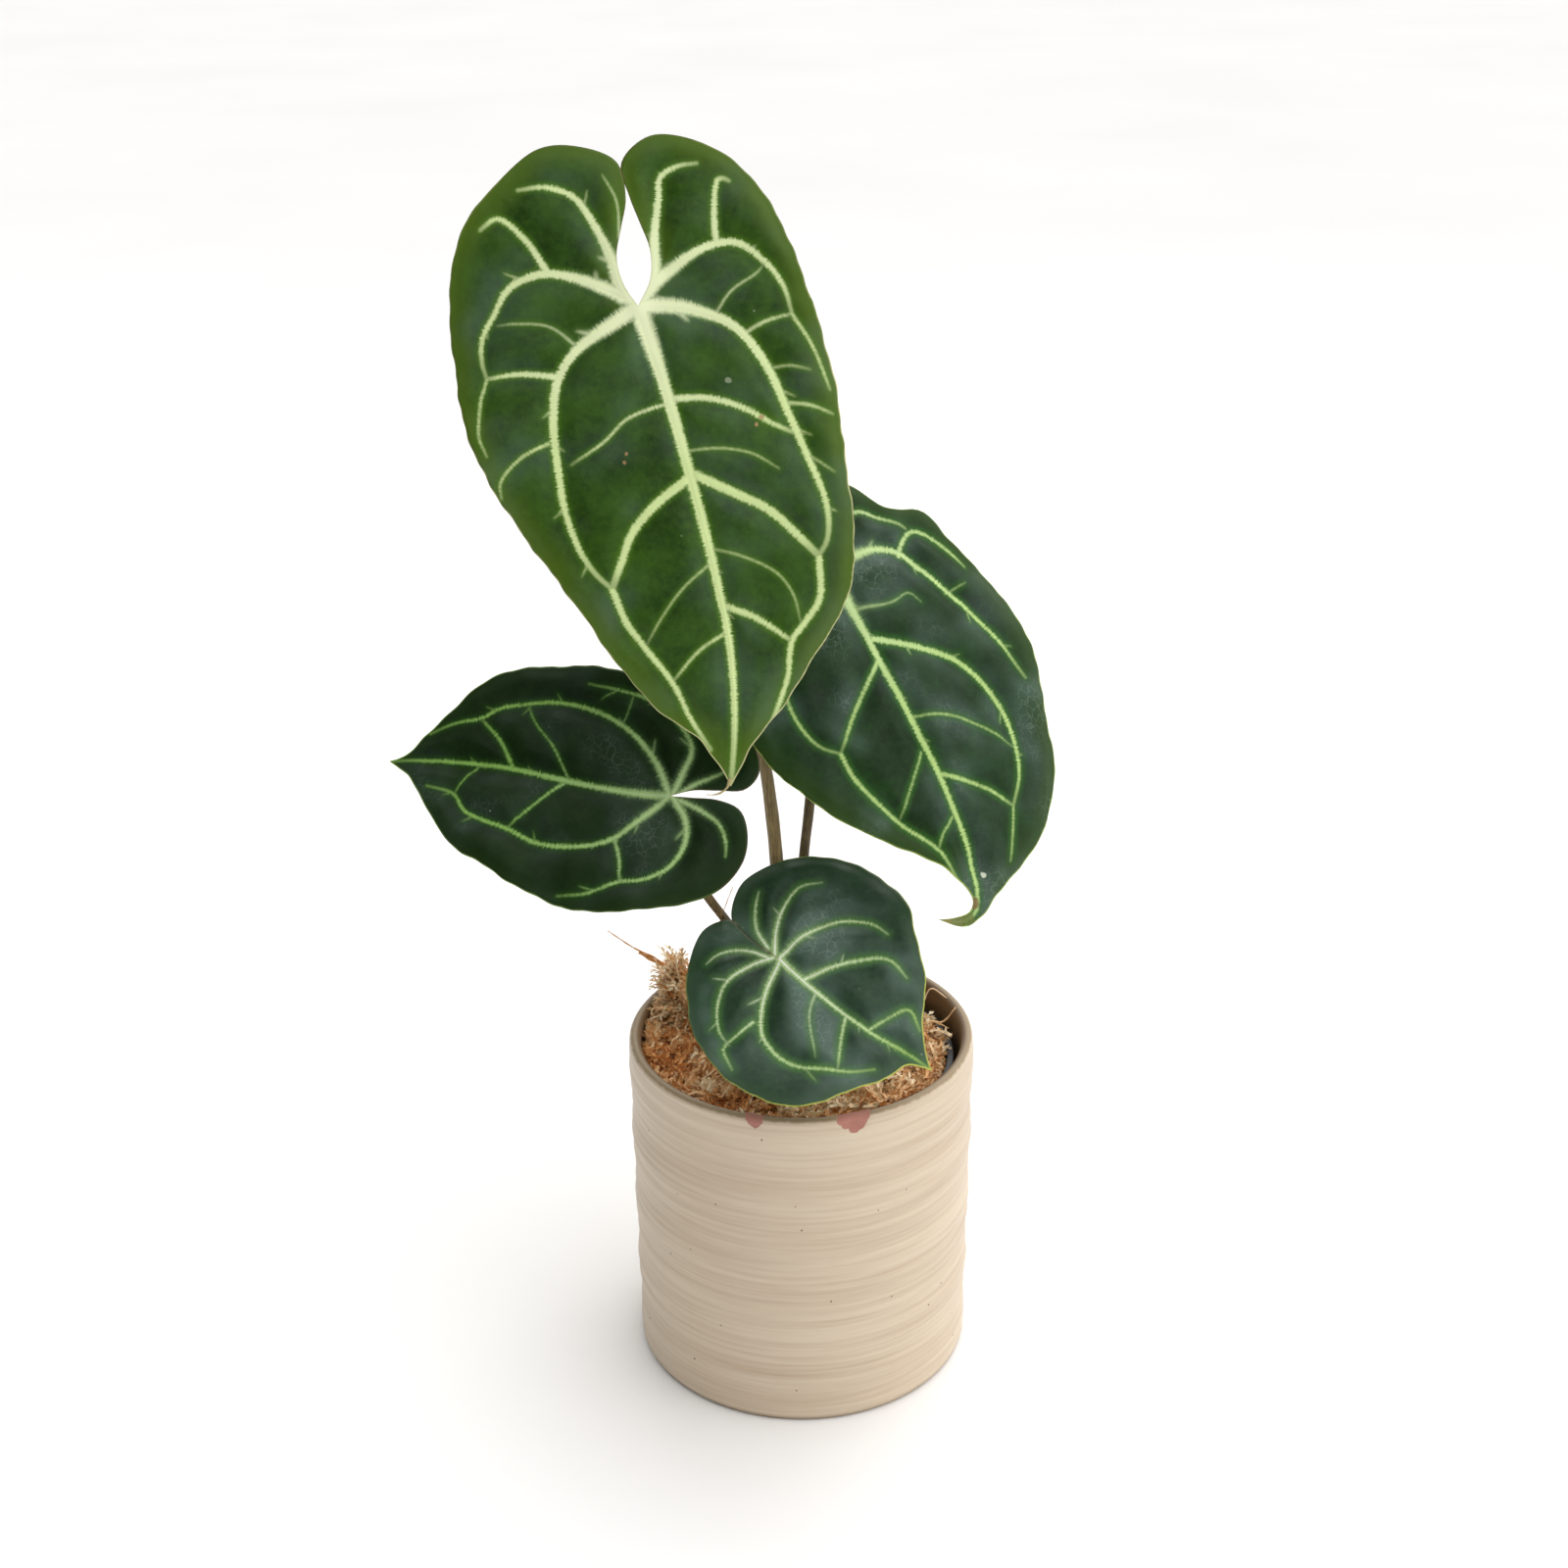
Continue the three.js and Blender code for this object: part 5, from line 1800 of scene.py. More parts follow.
@dataclass
class Cachepot:
    """Thrown stoneware cachepot with soft uneven rings and a rounded lip."""

    finish: StonewareFinish
    height: float = 140.0
    rim_radius: float = 68.3
    base_radius: float = 67.0
    wall: float = 4.6
    floor: float = 8.0
    foot_bevel: float = 2.2
    ring_depth: float = 0.35
    ring_pitch: float = 30.0
    step: float = 0.9
    segments: int = 224
    chip_depth: float = 0.45
    grooves: tuple[Groove, ...] = (
        Groove(58, 0.55, 1.4, -1.6),
        Groove(49.5, 0.5, 1.0, -1.3),
        Groove(45.5, 0.5, 0.9, -2.0),
        Groove(75, 0.2, 2.4, -1.9),
        Groove(92, 0.22, 2.4, -2.4),
        Groove(111, 0.2, 2.8, -1.2),
        Groove(22, 0.2, 1.8, -2.6),
        Groove(101, 0.15, 1.3, 0.8),
        Groove(66, 0.2, 1.5, 1.9),
        Groove(34, 0.22, 1.4, 1.2),
        Groove(124, 0.16, 2.0, -2.8),
    )

    def profile(self) -> list[Flat]:
        """Draw the wall's section from the middle of the base round to the inner floor.

        Returns:
            Rows of radius and height.
        """
        lip = self.wall / 2
        outer = np.arange(self.foot_bevel, self.height - lip, self.step)
        inner = self.base_radius - self.wall
        bevel = np.radians(np.linspace(0, 90, 5))
        round_lip = np.radians(np.linspace(0, 180, 13))
        inner_wall = np.linspace(self.height - lip, self.floor + 8, 26)[1:]
        points = [(0.0, 0.0)]
        for angle in bevel[:-1]:
            radius = self.base_radius - self.foot_bevel * (1 - math.sin(angle))
            points.append((radius, self.foot_bevel * (1 - math.cos(angle))))
        points += [(self.outer_radius(value), value) for value in outer]
        for angle in round_lip:
            radius = self.rim_radius - lip + lip * math.cos(angle)
            points.append((radius, self.height - lip + lip * math.sin(angle)))
        top = self.rim_radius - 2 * lip
        for value in inner_wall:
            share = (value - self.floor) / (self.height - self.floor)
            points.append((inner + (top - inner) * share, value))
        for angle in np.radians(np.linspace(15, 90, 6)):
            radius = inner - 8 + 8 * math.cos(angle)
            points.append((radius, self.floor + 8 - 8 * math.sin(angle)))
        points.append((0.0, self.floor))
        return points

    def outer_radius(self, height: float) -> float:
        """Read the outer wall's mean radius at a height, as in the CAD source."""
        taper = self.base_radius + (self.rim_radius - self.base_radius) * height / self.height
        return taper + self.ring_depth * math.sin(2 * math.pi * height / self.ring_pitch)

    def relief(self, places: np.ndarray) -> np.ndarray:
        """Work out how far each place is pushed in or out by throwing and by wear.

        Args:
            places: The pot's vertices in millimetres.

        Returns:
            The change of radius.
        """
        bearing = np.arctan2(places[:, 1], places[:, 0])
        z = places[:, 2] + 1.4 * np.sin(bearing + 0.8) + 0.7 * np.sin(2 * bearing)
        radius = np.hypot(places[:, 0], places[:, 1])
        push = 0.12 * np.sin(z * 2 * math.pi / 7.3 + 0.6 * np.sin(2 * bearing))
        push += 0.1 * np.sin(z * 2 * math.pi / 11.9 + 1.1 * np.sin(bearing + 2))
        push += 0.07 * np.sin(z * 2 * math.pi / 3.7 + 1.9 * np.sin(3 * bearing))
        push += 0.18 * np.sin(2 * bearing + z / 50)
        for groove in self.grooves:
            fade = 0.35 + 0.65 * (0.5 + 0.5 * np.cos(bearing - groove.bearing)) ** 1.5
            dip = np.exp(-(((z - groove.height) / groove.width) ** 2))
            push -= groove.depth * fade * dip
        outside = smoothstep(radius, self.rim_radius - self.wall, self.rim_radius - 1.6)
        body = smoothstep(places[:, 2], 0.5, 5) * (
            1 - smoothstep(places[:, 2], self.height - 7, self.height - 2)
        )
        push *= outside * body
        rim = smoothstep(places[:, 2], self.height - 12, self.height - 3)
        for chip in self.finish.chips:
            for x, z_chip, size in chip.circles:
                away = np.hypot(places[:, 0] - x, places[:, 2] - z_chip)
                front = places[:, 1] < 0
                push -= self.chip_depth * (1 - smoothstep(away, size - 1, size + 0.6)) * front * rim
        return push

    def dress(self) -> Object:
        """Spin the pot, throw its rings into it and glaze it.

        Returns:
            The cachepot's object.
        """
        bm = bmesh.new()
        corners = [bm.verts.new((radius, 0, height)) for radius, height in self.profile()]
        edges = [bm.edges.new(pair) for pair in zip(corners, corners[1:])]
        spin_round(bm, [*corners, *edges], self.segments)
        bmesh.ops.recalc_face_normals(bm, faces=bm.faces)
        mesh = mesh_from(bm, "stoneware_pot")
        places = places_of(mesh)
        radius = np.maximum(np.hypot(places[:, 0], places[:, 1]), 1e-6)
        places[:, :2] *= ((radius + self.relief(places)) / radius)[:, None]
        move_vertices(mesh, places * MM)
        return place_piece(mesh, [self.finish.make()], "cachepot")


@dataclass
class GrowPot:
    """Thin black plastic pot with a stepped collar and a rolled rim."""

    finish: PlasticFinish
    foot: float = 8.3
    top: float = 130.0
    collar: float = 14.0
    base_radius: float = 46.0
    shoulder_radius: float = 57.4
    collar_radius: float = 59.4
    rim_radius: float = 61.0
    rim_depth: float = 3.0
    wall: float = 1.2
    floor: float = 2.0
    segments: int = 160

    def dress(self) -> Object:
        """Spin the pot, round its edges and give it its moulded skin.

        Returns:
            The grow pot's object.
        """
        shoulder = self.top - self.collar
        rim = self.top - self.rim_depth
        profile = [
            (0, self.foot),
            (self.base_radius - 1, self.foot),
            (self.base_radius, self.foot + 1),
            (self.shoulder_radius, shoulder),
            (self.collar_radius, shoulder + 1.5),
            (self.collar_radius, rim),
            (self.rim_radius, rim),
            (self.rim_radius, self.top),
            (self.collar_radius - self.wall, self.top),
            (self.collar_radius - self.wall, shoulder + 2.2),
            (self.shoulder_radius - self.wall, shoulder + 0.7),
            (self.base_radius - self.wall, self.foot + self.floor),
            (0, self.foot + self.floor),
        ]
        bm = bmesh.new()
        corners = [bm.verts.new((radius, 0, height)) for radius, height in profile]
        for pair in zip(corners, corners[1:]):
            bm.edges.new(pair)
        bmesh.ops.bevel(
            bm,
            geom=corners[1:-1],
            offset=0.5,
            offset_type="OFFSET",
            affect="VERTICES",
            segments=4,
            profile=0.5,
            material=-1,
        )
        spin_round(bm, [*bm.verts, *bm.edges], self.segments)
        bmesh.ops.recalc_face_normals(bm, faces=bm.faces)
        mesh = mesh_from(bm, "plastic_pot", MM)
        return place_piece(mesh, [self.finish.make()], "grow_pot")


# Studio


@dataclass(frozen=True)
class Softbox:
    """One large soft light: its place and aim in metres, size and power in watts."""

    name: str
    place: Place
    aim: Place
    size: Flat
    power: float
    colour: str = "ffffff"


@dataclass(frozen=True)
class Daylight:
    """Window light from one side: the direction that it comes from, spread and strength."""

    source: Place
    spread: float
    strength: float
    colour: str = "ffffff"


@dataclass
class Studio:
    """A pale floor, soft lights and the camera."""

    softboxes: tuple[Softbox, ...]
    daylight: Daylight
    floor_radius: float = 9.0
    floor_colour: str = "f7f6f4"
    sky: float = 0.605
    sky_slope: Place = (0.62, 0.32, 0.25)
    eye: Place = (0.0, -0.8, 0.607)
    yaw: float = -0.42
    pitch: float = 24.235
    tilt: float = -0.52
    focus: float = 2362.0
    frame_width: int = 1600
    sensor: float = 36.0

    def floor(self) -> None:
        """Lay the floor, smooth seamless paper with a faint tooth."""
        bm = bmesh.new()
        bmesh.ops.create_circle(bm, segments=96, radius=self.floor_radius, cap_ends=True)
        mesh = mesh_from(bm, "studio_floor")
        ground = bpy.data.objects.new("studio_floor", mesh)
        bpy.context.scene.collection.objects.link(ground)
        material, add, shader = Finish("seamless_paper", 0.9).begin()
        spot = add("TexCoord", out="Object")
        tooth = add("TexNoise", {"Vector": spot, "Scale": 2.0, "Detail": 2.0})
        paper = add("ValToRGB", {"Fac": tooth}, stops=((0.3, self.floor_colour), (0.7, "fbfaf9")))
        plug(shader.inputs["Base Color"], paper)
        shader.inputs["Specular IOR Level"].default_value = 0.1
        mesh.materials.append(material)

    def lights(self) -> None:
        """Hang the softboxes and give the room its soft glow."""
        world = bpy.data.worlds.new("studio_room")
        bpy.context.scene.world = world
        world.use_nodes = True
        world.node_tree.nodes.clear()
        add = partial(add_node, world.node_tree)
        # The room is bright at the back, on the right and above, and dark behind the camera.
        toward = add("TexCoord", out="Generated")
        share = add("VectorMath", [toward, self.sky_slope], operation="DOT_PRODUCT")
        level = add("Math", [share, self.sky], operation="ADD")
        lit = add("Math", [level, 0.08], operation="MAXIMUM")
        glow = add("Background", {"Color": "ffffff", "Strength": lit})
        add("OutputWorld", {"Surface": glow})
        sun = bpy.data.lights.new("daylight", "SUN")
        sun.energy = self.daylight.strength
        sun.angle = math.radians(self.daylight.spread)
        sun.color = linear(self.daylight.colour)[:3]
        window = bpy.data.objects.new("daylight", sun)
        bpy.context.scene.collection.objects.link(window)
        window.rotation_euler = Vector(self.daylight.source).to_track_quat("Z", "Y").to_euler()
        for box in self.softboxes:
            lamp = bpy.data.lights.new(box.name, "AREA")
            lamp.shape = "RECTANGLE"
            lamp.size, lamp.size_y = box.size
            lamp.energy = box.power
            lamp.color = linear(box.colour)[:3]
            holder = bpy.data.objects.new(box.name, lamp)
            bpy.context.scene.collection.objects.link(holder)
            holder.location = box.place
            aim = Vector(box.aim) - Vector(box.place)
            holder.rotation_euler = aim.to_track_quat("-Z", "Y").to_euler()

    def camera(self) -> None:
        """Set the camera at the photograph's place, angle and focal length."""
        yaw, pitch, tilt = (math.radians(v) for v in (self.yaw, self.pitch, self.tilt))
        forward = Vector(
            (math.sin(yaw) * math.cos(pitch), math.cos(yaw) * math.cos(pitch), -math.sin(pitch))
        )
        level = Vector((math.cos(yaw), -math.sin(yaw), 0))
        upright = level.cross(forward)
        right = level * math.cos(tilt) + upright * math.sin(tilt)
        up = upright * math.cos(tilt) - level * math.sin(tilt)
        data = bpy.data.cameras.new("photo_camera")
        data.sensor_width = self.sensor
        data.lens = self.focus / self.frame_width * self.sensor
        data.clip_end = 60.0
        eye = bpy.data.objects.new("photo_camera", data)
        bpy.context.scene.collection.objects.link(eye)
        turn = Matrix((right, up, -forward)).transposed().to_4x4()
        eye.matrix_world = Matrix.Translation(self.eye) @ turn
        bpy.context.scene.camera = eye

    def build(self) -> None:
        """Set up the whole studio."""
        self.floor()
        self.lights()
        self.camera()
        view = bpy.context.scene.view_settings
        view.view_transform = "Standard"
        view.look = "None"


# The plant's own measures

TALL_FORM = LeafForm(
    joint=(-55.8, 12, 426.4),
    heading=-57.5,
    droop=56.4,
    roll=30.4,
    length=173,
    bend=18,
    sweep=-14,
    lobe=65,
    lobe_bend=10,
    camber=10,
    fold=0,
    wave=(3.2, 88, 0.4),
    half_width=66,
    midrib=((0, 0), (1, 30), (2, 60), (4, 100), (5, 122), (3.5, 150), (0, 174)),
    flanks=(
        Flank(
            margin=(
                (0, 0), (-2.5, -9), (-2, -19), (3, -29), (7.5, -38), (8.2, -51), (-5, -61),
                (-17, -63.5), (-33, -57.5), (-51, -45.5), (-62, -28), (-67.5, -11), (-70, 5),
                (-71.3, 24), (-68.5, 46), (-62, 67), (-53, 88), (-43.5, 108), (-34, 127.5),
                (-23, 144), (-10, 156), (-3, 167), (0, 174),
            ),
            lobe_end=8,
            waist=13,
            lobe_vein=((0, 0), (-7, -10), (-9, -24), (-10, -38), (-18, -50), (-33, -57.5)),
        ),
        Flank(
            margin=(
                (0, 0), (7, -8), (10, -18), (9.5, -28), (8.8, -38), (9.7, -50), (22, -56),
                (37, -50), (50, -36), (56.5, -17), (58.5, 3), (59.5, 24), (59.5, 44), (57, 66),
                (55.5, 86), (52.5, 104), (46, 118), (35, 130), (26, 142), (13, 155), (5, 166),
                (0, 174),
            ),
            lobe_end=7,
            waist=11,
            lobe_vein=((0, 0), (11, -7), (16, -20), (19, -33), (26, -43), (37, -50)),
        ),
    ),
    veins=(
        Vein(Rank.PRIMARY, ((0, 0), (-10, 3), (-25, 8), (-35, 17), (-41, 35), (-43, 50),
                            (-44, 65), (-42, 80), (-38, 90), (-33, 97))),
        Vein(Rank.LATERAL, ((-33, 97), (-30, 110), (-25, 120), (-17, 134), (-12, 148),
                            (-6, 160))),
        Vein(Rank.PRIMARY, ((0, 0), (10, 3), (20, 8), (30, 16), (37, 30), (41, 50), (44, 65),
                            (47, 82), (45, 93), (41, 98))),
        Vein(Rank.LATERAL, ((41, 98), (39, 112), (33, 119), (27, 125), (24, 137), (15, 155))),
        Vein(Rank.BASAL, ((0, -2), (-8, -9), (-20, -18), (-30, -22), (-42, -21), (-50, -14),
                          (-57, -7), (-59, 0), (-59, 8))),
        Vein(Rank.TWIG, ((-59, 8), (-64, 18), (-67, 30), (-66, 38))),
        Vein(Rank.BASAL, ((2, -2), (8, -6), (15, -9), (30, -13), (40, -11), (47, -2), (51, 8),
                          (51, 18))),
        Vein(Rank.TWIG, ((51, 18), (55, 30), (57, 45))),
        Vein(Rank.BASAL, ((-4, -5), (-4, -20), (-6, -32), (-10, -44), (-18, -50), (-28, -52))),
        Vein(Rank.BASAL, ((5, -4), (9, -10), (13, -22), (19, -36), (21, -41), (28, -43),
                            (35, -42))),
        Vein(Rank.FINE, ((1, -25), (4, -38), (2, -48))),
        Vein(Rank.LATERAL, ((-27, -22), (-31, -35), (-38, -45), (-45, -43))),
        Vein(Rank.LATERAL, ((33, -13), (36, -25), (41, -35), (44, -33))),
        Vein(Rank.LATERAL, ((-36, 15), (-48, 10), (-59, 8))),
        Vein(Rank.TWIG, ((32, 20), (42, 18), (51, 18))),
        Vein(Rank.TWIG, ((0, 36), (-15, 38), (-25, 44), (-38, 49))),
        Vein(Rank.LATERAL, ((3, 35), (15, 38), (27, 45), (35, 52), (41, 56))),
        Vein(Rank.BRANCH, ((2, 63), (-12, 70), (-22, 78), (-28, 88), (-33, 97))),
        Vein(Rank.BRANCH, ((4, 63), (15, 71), (27, 80), (35, 90), (41, 98))),
        Vein(Rank.FINE, ((3, 94), (-8, 101), (-17, 110), (-24, 119))),
        Vein(Rank.FINE, ((4, 89), (15, 94), (26, 102), (30, 110), (31, 119))),
        Vein(Rank.TWIG, ((4, 119), (-6, 124), (-17, 134))),
        Vein(Rank.LATERAL, ((6, 110), (15, 115), (27, 125))),
        Vein(Rank.FINE, ((3, 54), (15, 56), (25, 60), (33, 67))),
        Vein(Rank.TWIG, ((-44, 39), (-55, 42), (-64, 49), (-65, 55))),
        Vein(Rank.FINE, ((37, 33), (45, 34), (52, 37))),
        Vein(Rank.TWIG, ((42, 46), (50, 49), (56, 53))),
        Vein(Rank.FINE, ((45, 65), (52, 72))),
        Vein(Rank.FINE, ((-25, 7), (-32, -3), (-43, -8), (-50, -10))),
        Vein(Rank.FINE, ((26, 10), (33, 5), (43, 2), (46, 0))),
    ),
)

RIGHT_FORM = LeafForm(
    joint=(11.4, 38, 320.5),
    heading=-47.5,
    droop=42.2,
    roll=16.9,
    length=144,
    bend=25,
    sweep=-8,
    lobe=55,
    lobe_bend=10,
    camber=20,
    fold=0,
    wave=(2.8, 74, 1.2),
    half_width=62,
    vein_scale=0.61,
    midrib=(
        (0, 0), (0, 40), (2, 70), (4, 95), (5, 122), (3, 138), (0.5, 144), (-6, 145.6),
        (-15, 142),
    ),
    flanks=(
        Flank(
            margin=(
                (0, 0), (-3, -9), (-3, -20), (-4, -29), (-12, -34), (-25, -31), (-36, -20),
                (-43, -6), (-48, 10), (-54, 26), (-58, 42), (-57.5, 58), (-49, 80), (-36, 98),
                (-18, 114), (-7, 124), (-1, 133), (1, 139), (-1.5, 142.7), (-8, 143.5),
                (-15, 142),
            ),
            lobe_end=5,
            waist=8,
            lobe_vein=((0, 0), (-7, -9), (-14, -19), (-25, -31)),
        ),
        Flank(
            margin=(
                (0, 0), (4, -9), (5, -20), (6, -31), (15, -36), (26, -27), (36, -12),
                (49, -5), (53.5, 8), (60, 23), (64, 42), (62.5, 62), (58, 82), (55, 101),
                (42, 120), (26, 132.5), (10, 141), (3, 146.5), (-6, 147.6), (-15, 142),
            ),
            lobe_end=5,
            waist=9,
            lobe_vein=((0, 0), (8, -6), (18, -16), (26, -27)),
        ),
    ),
    veins=(
        Vein(Rank.PRIMARY, ((0, 0), (13, 0), (22, 1), (30, 6), (35, 15), (42, 28), (47, 40),
                            (51, 55), (54, 68))),
        Vein(Rank.PRIMARY, ((2, 33), (15, 41), (28, 51), (35, 62), (39, 75), (40, 88),
                            (37, 100), (29, 111))),
        Vein(Rank.TWIG, ((29, 111), (25, 120), (20, 130))),
        Vein(Rank.LATERAL, ((0, 0), (-20, 4), (-34, 20), (-40, 40), (-40, 52), (-36, 64),
                            (-30, 69))),
        Vein(Rank.LATERAL, ((0, 41), (-10, 49), (-20, 58), (-30, 69))),
        Vein(Rank.LATERAL, ((-30, 69), (-29, 80), (-24, 92), (-18, 103), (-7, 117),
                            (-3, 130))),
        Vein(Rank.TWIG, ((2, 66), (15, 70), (25, 77), (38, 90))),
        Vein(Rank.LATERAL, ((4, 90), (12, 95), (20, 101), (29, 111))),
        Vein(Rank.TWIG, ((0, 80), (-8, 89), (-18, 101))),
        Vein(Rank.TWIG, ((3, 107), (-4, 112), (-7, 117))),
        Vein(Rank.LATERAL, ((29, 7), (33, 3), (40, 0), (46, 5), (54, 20))),
        Vein(Rank.LATERAL, ((3, -4), (22, -16), (30, -10), (38, -2))),
        Vein(Rank.FINE, ((2, 20), (15, 23), (24, 22), (27, 27))),
        Vein(Rank.FINE, ((40, 27), (50, 26))),
        Vein(Rank.LATERAL, ((-1, -4), (-20, -12), (-36, 2), (-44, 20), (-50, 42))),
    ),
)

LEFT_FORM = LeafForm(
    joint=(-47.7, -28, 255),
    heading=166.9,
    droop=-4.7,
    roll=-45.1,
    length=114,
    bend=15,
    sweep=0,
    lobe=40,
    lobe_bend=0,
    camber=8,
    fold=5,
    wave=(2.2, 62, 0.2),
    half_width=48,
    vein_scale=0.48,
    midrib=((0, 0), (1, 20), (0, 40), (-2, 65), (-2, 85), (-1, 105), (0, 115)),
    flanks=(
        Flank(
            margin=(
                (0, 0), (-3.5, -8), (-5, -17), (-7, -27), (-14, -31), (-24, -27), (-33, -15),
                (-39, 0), (-43, 18), (-45.3, 36), (-44.5, 56), (-39, 75.5), (-26, 89.5),
                (-12, 101), (-4.5, 106.5), (-1.5, 111), (0, 115),
            ),
            lobe_end=5,
            waist=8,
            lobe_vein=((0, 0), (-9, -7), (-13, -16), (-24, -27)),
        ),
        Flank(
            margin=(
                (0, 0), (-0.8, -9), (-1.5, -18), (1, -27), (10, -32), (21, -32.5), (33, -26),
                (42, -11), (47.5, 6), (49.2, 24), (45.5, 43), (39, 60), (31, 78), (19, 91.5),
                (7, 102.5), (2, 111), (0, 115),
            ),
            lobe_end=6,
            waist=9,
            lobe_vein=((0, 0), (7, -9), (11, -19), (20, -25), (33, -26)),
        ),
    ),
    veins=(
        Vein(Rank.PRIMARY, ((0, 0), (10, 8), (20, 17), (25, 30), (26, 45), (22, 58), (20, 68),
                            (17, 77), (11, 83), (9, 95))),
        Vein(Rank.PRIMARY, ((0, 0), (-12, 8), (-22, 20), (-28, 35), (-30, 50), (-28, 63),
                            (-25, 73), (-20, 80), (-17, 90), (-12, 100))),
        Vein(Rank.BASAL, ((0, -1), (2, -3), (8, -8), (18, -10), (28, -6), (34, 2), (36, 10),
                          (42, 20), (45, 32))),
        Vein(Rank.LATERAL, ((1, -4), (4, -14), (8, -21), (15, -25), (20, -26))),
        Vein(Rank.BASAL, ((0, -1), (-10, -3), (-20, -4), (-34, 12), (-38, 40))),
        Vein(Rank.LATERAL, ((-1, -3), (-7, -10), (-12, -18))),
        Vein(Rank.LATERAL, ((1, 41), (10, 49), (22, 58))),
        Vein(Rank.TWIG, ((-2, 76), (4, 80), (11, 83))),
        Vein(Rank.TWIG, ((-1, 40), (-12, 48), (-20, 57), (-28, 63))),
        Vein(Rank.LATERAL, ((-3, 63), (-12, 70), (-20, 80))),
        Vein(Rank.LATERAL, ((20, 16), (28, 12), (36, 10))),
        Vein(Rank.FINE, ((-24, 24), (-30, 22), (-37, 22))),
    ),
)

LOW_FORM = LeafForm(
    joint=(-8.2, -25, 185.4),
    heading=-36.3,
    droop=15.2,
    roll=30.5,
    length=71,
    bend=20,
    sweep=0,
    lobe=32,
    lobe_bend=0,
    camber=15,
    fold=5,
    wave=(2, 52, 2.2),
    half_width=50,
    vein_scale=0.43,
    midrib=((0, 0), (-2, 15), (-3, 30), (-3, 45), (-1, 60), (0, 72.5)),
    flanks=(
        Flank(
            margin=(
                (0, 0), (-0.3, -5), (-0.1, -11.5), (0.8, -18), (2.8, -25.5), (-6, -31.6),
                (-25, -25), (-37, -15), (-46, -2), (-50.8, 14), (-48.5, 31), (-41, 45), (-28, 53),
                (-13, 61.5), (-4.5, 64.5), (-1.5, 69), (0, 72.5),
            ),
            lobe_end=6,
            waist=9,
            lobe_vein=((0, 0), (-7, -9), (-11, -18), (-25, -25)),
        ),
        Flank(
            margin=(
                (0, 0), (0, -5), (0, -11.5), (0.9, -18), (3.2, -26), (18, -32),
                (33, -25.5), (43, -14), (49, -1), (50.5, 11), (47.5, 24.5), (38, 36.5),
                (27, 49), (14, 58), (5, 65.5), (1.5, 70), (0, 72.5),
            ),
            lobe_end=6,
            waist=9,
            lobe_vein=((0, 0), (8, -9), (12, -18), (20, -24), (33, -25.5)),
        ),
    ),
    veins=(
        Vein(Rank.PRIMARY, ((-1, 1), (-12, 4), (-22, 9), (-29, 15), (-32, 25), (-30, 34),
                            (-25, 42), (-20, 50), (-14, 56))),
        Vein(Rank.PRIMARY, ((0, 0), (10, 1), (20, 5), (28, 12), (32, 20), (32, 28))),
        Vein(Rank.PRIMARY, ((-1, 13), (8, 18), (17, 25), (24, 34), (22, 44))),
        Vein(Rank.TWIG, ((-3, 20), (-12, 24), (-24, 36))),
        Vein(Rank.LATERAL, ((-4, 35), (-12, 39), (-22, 45))),
        Vein(Rank.LATERAL, ((-2, 45), (6, 48), (13, 52), (9, 60))),
        Vein(Rank.BASAL, ((-1, -2), (-8, -7), (-20, -10), (-30, -6), (-38, 2), (-40, 8))),
        Vein(Rank.LATERAL, ((-27, 9), (-35, 8), (-42, 7), (-47, 15))),
        Vein(Rank.LATERAL, ((-2, -3), (-5, -14), (-12, -20), (-18, -21))),
        Vein(Rank.BASAL, ((0, -2), (8, -8), (18, -12), (28, -12), (35, -6))),
        Vein(Rank.LATERAL, ((1, -6), (5, -15), (12, -21), (18, -24))),
    ),
)

STALKS = (
    Stalk(
        TALL_FORM, 2.4, 3.4,
        ((-5, 10, 131), (-7, 14.5, 170), (-9, 16, 204), (-11, 14.5, 230), (-14.5, 12, 256),
         (-30, 11, 308), (-47, 17, 370)),
        0.14,
    ),
    Stalk(
        RIGHT_FORM, 2.0, 3.0,
        ((1, 10, 131), (1, 13, 175), (1.4, 16, 206), (4, 21, 230), (8, 40, 285)),
        -0.1,
    ),
    Stalk(
        LEFT_FORM, 1.8, 2.8,
        ((-6, 8, 131), (-14, 7, 156), (-22, 3, 175), (-29, -2, 190), (-37, -8, 206),
         (-45, -13, 228)),
        -0.06,
    ),
    Stalk(LOW_FORM, 1.6, 2.5, ((-2, 3, 131), (-4, -4, 148), (-6, -13, 163))),
)

UNDERSIDE = LeafFinish(
    "leaf_underside",
    0.6,
    deep="4f6a44",
    mid="5f7a50",
    rim="64794a",
    halo="7b9363",
    vein="a9b989",
    joint="b9c394",
    painted_sheen=0.1,
    feather=0.5,
    specular=0.3,
    seed=9.0,
)

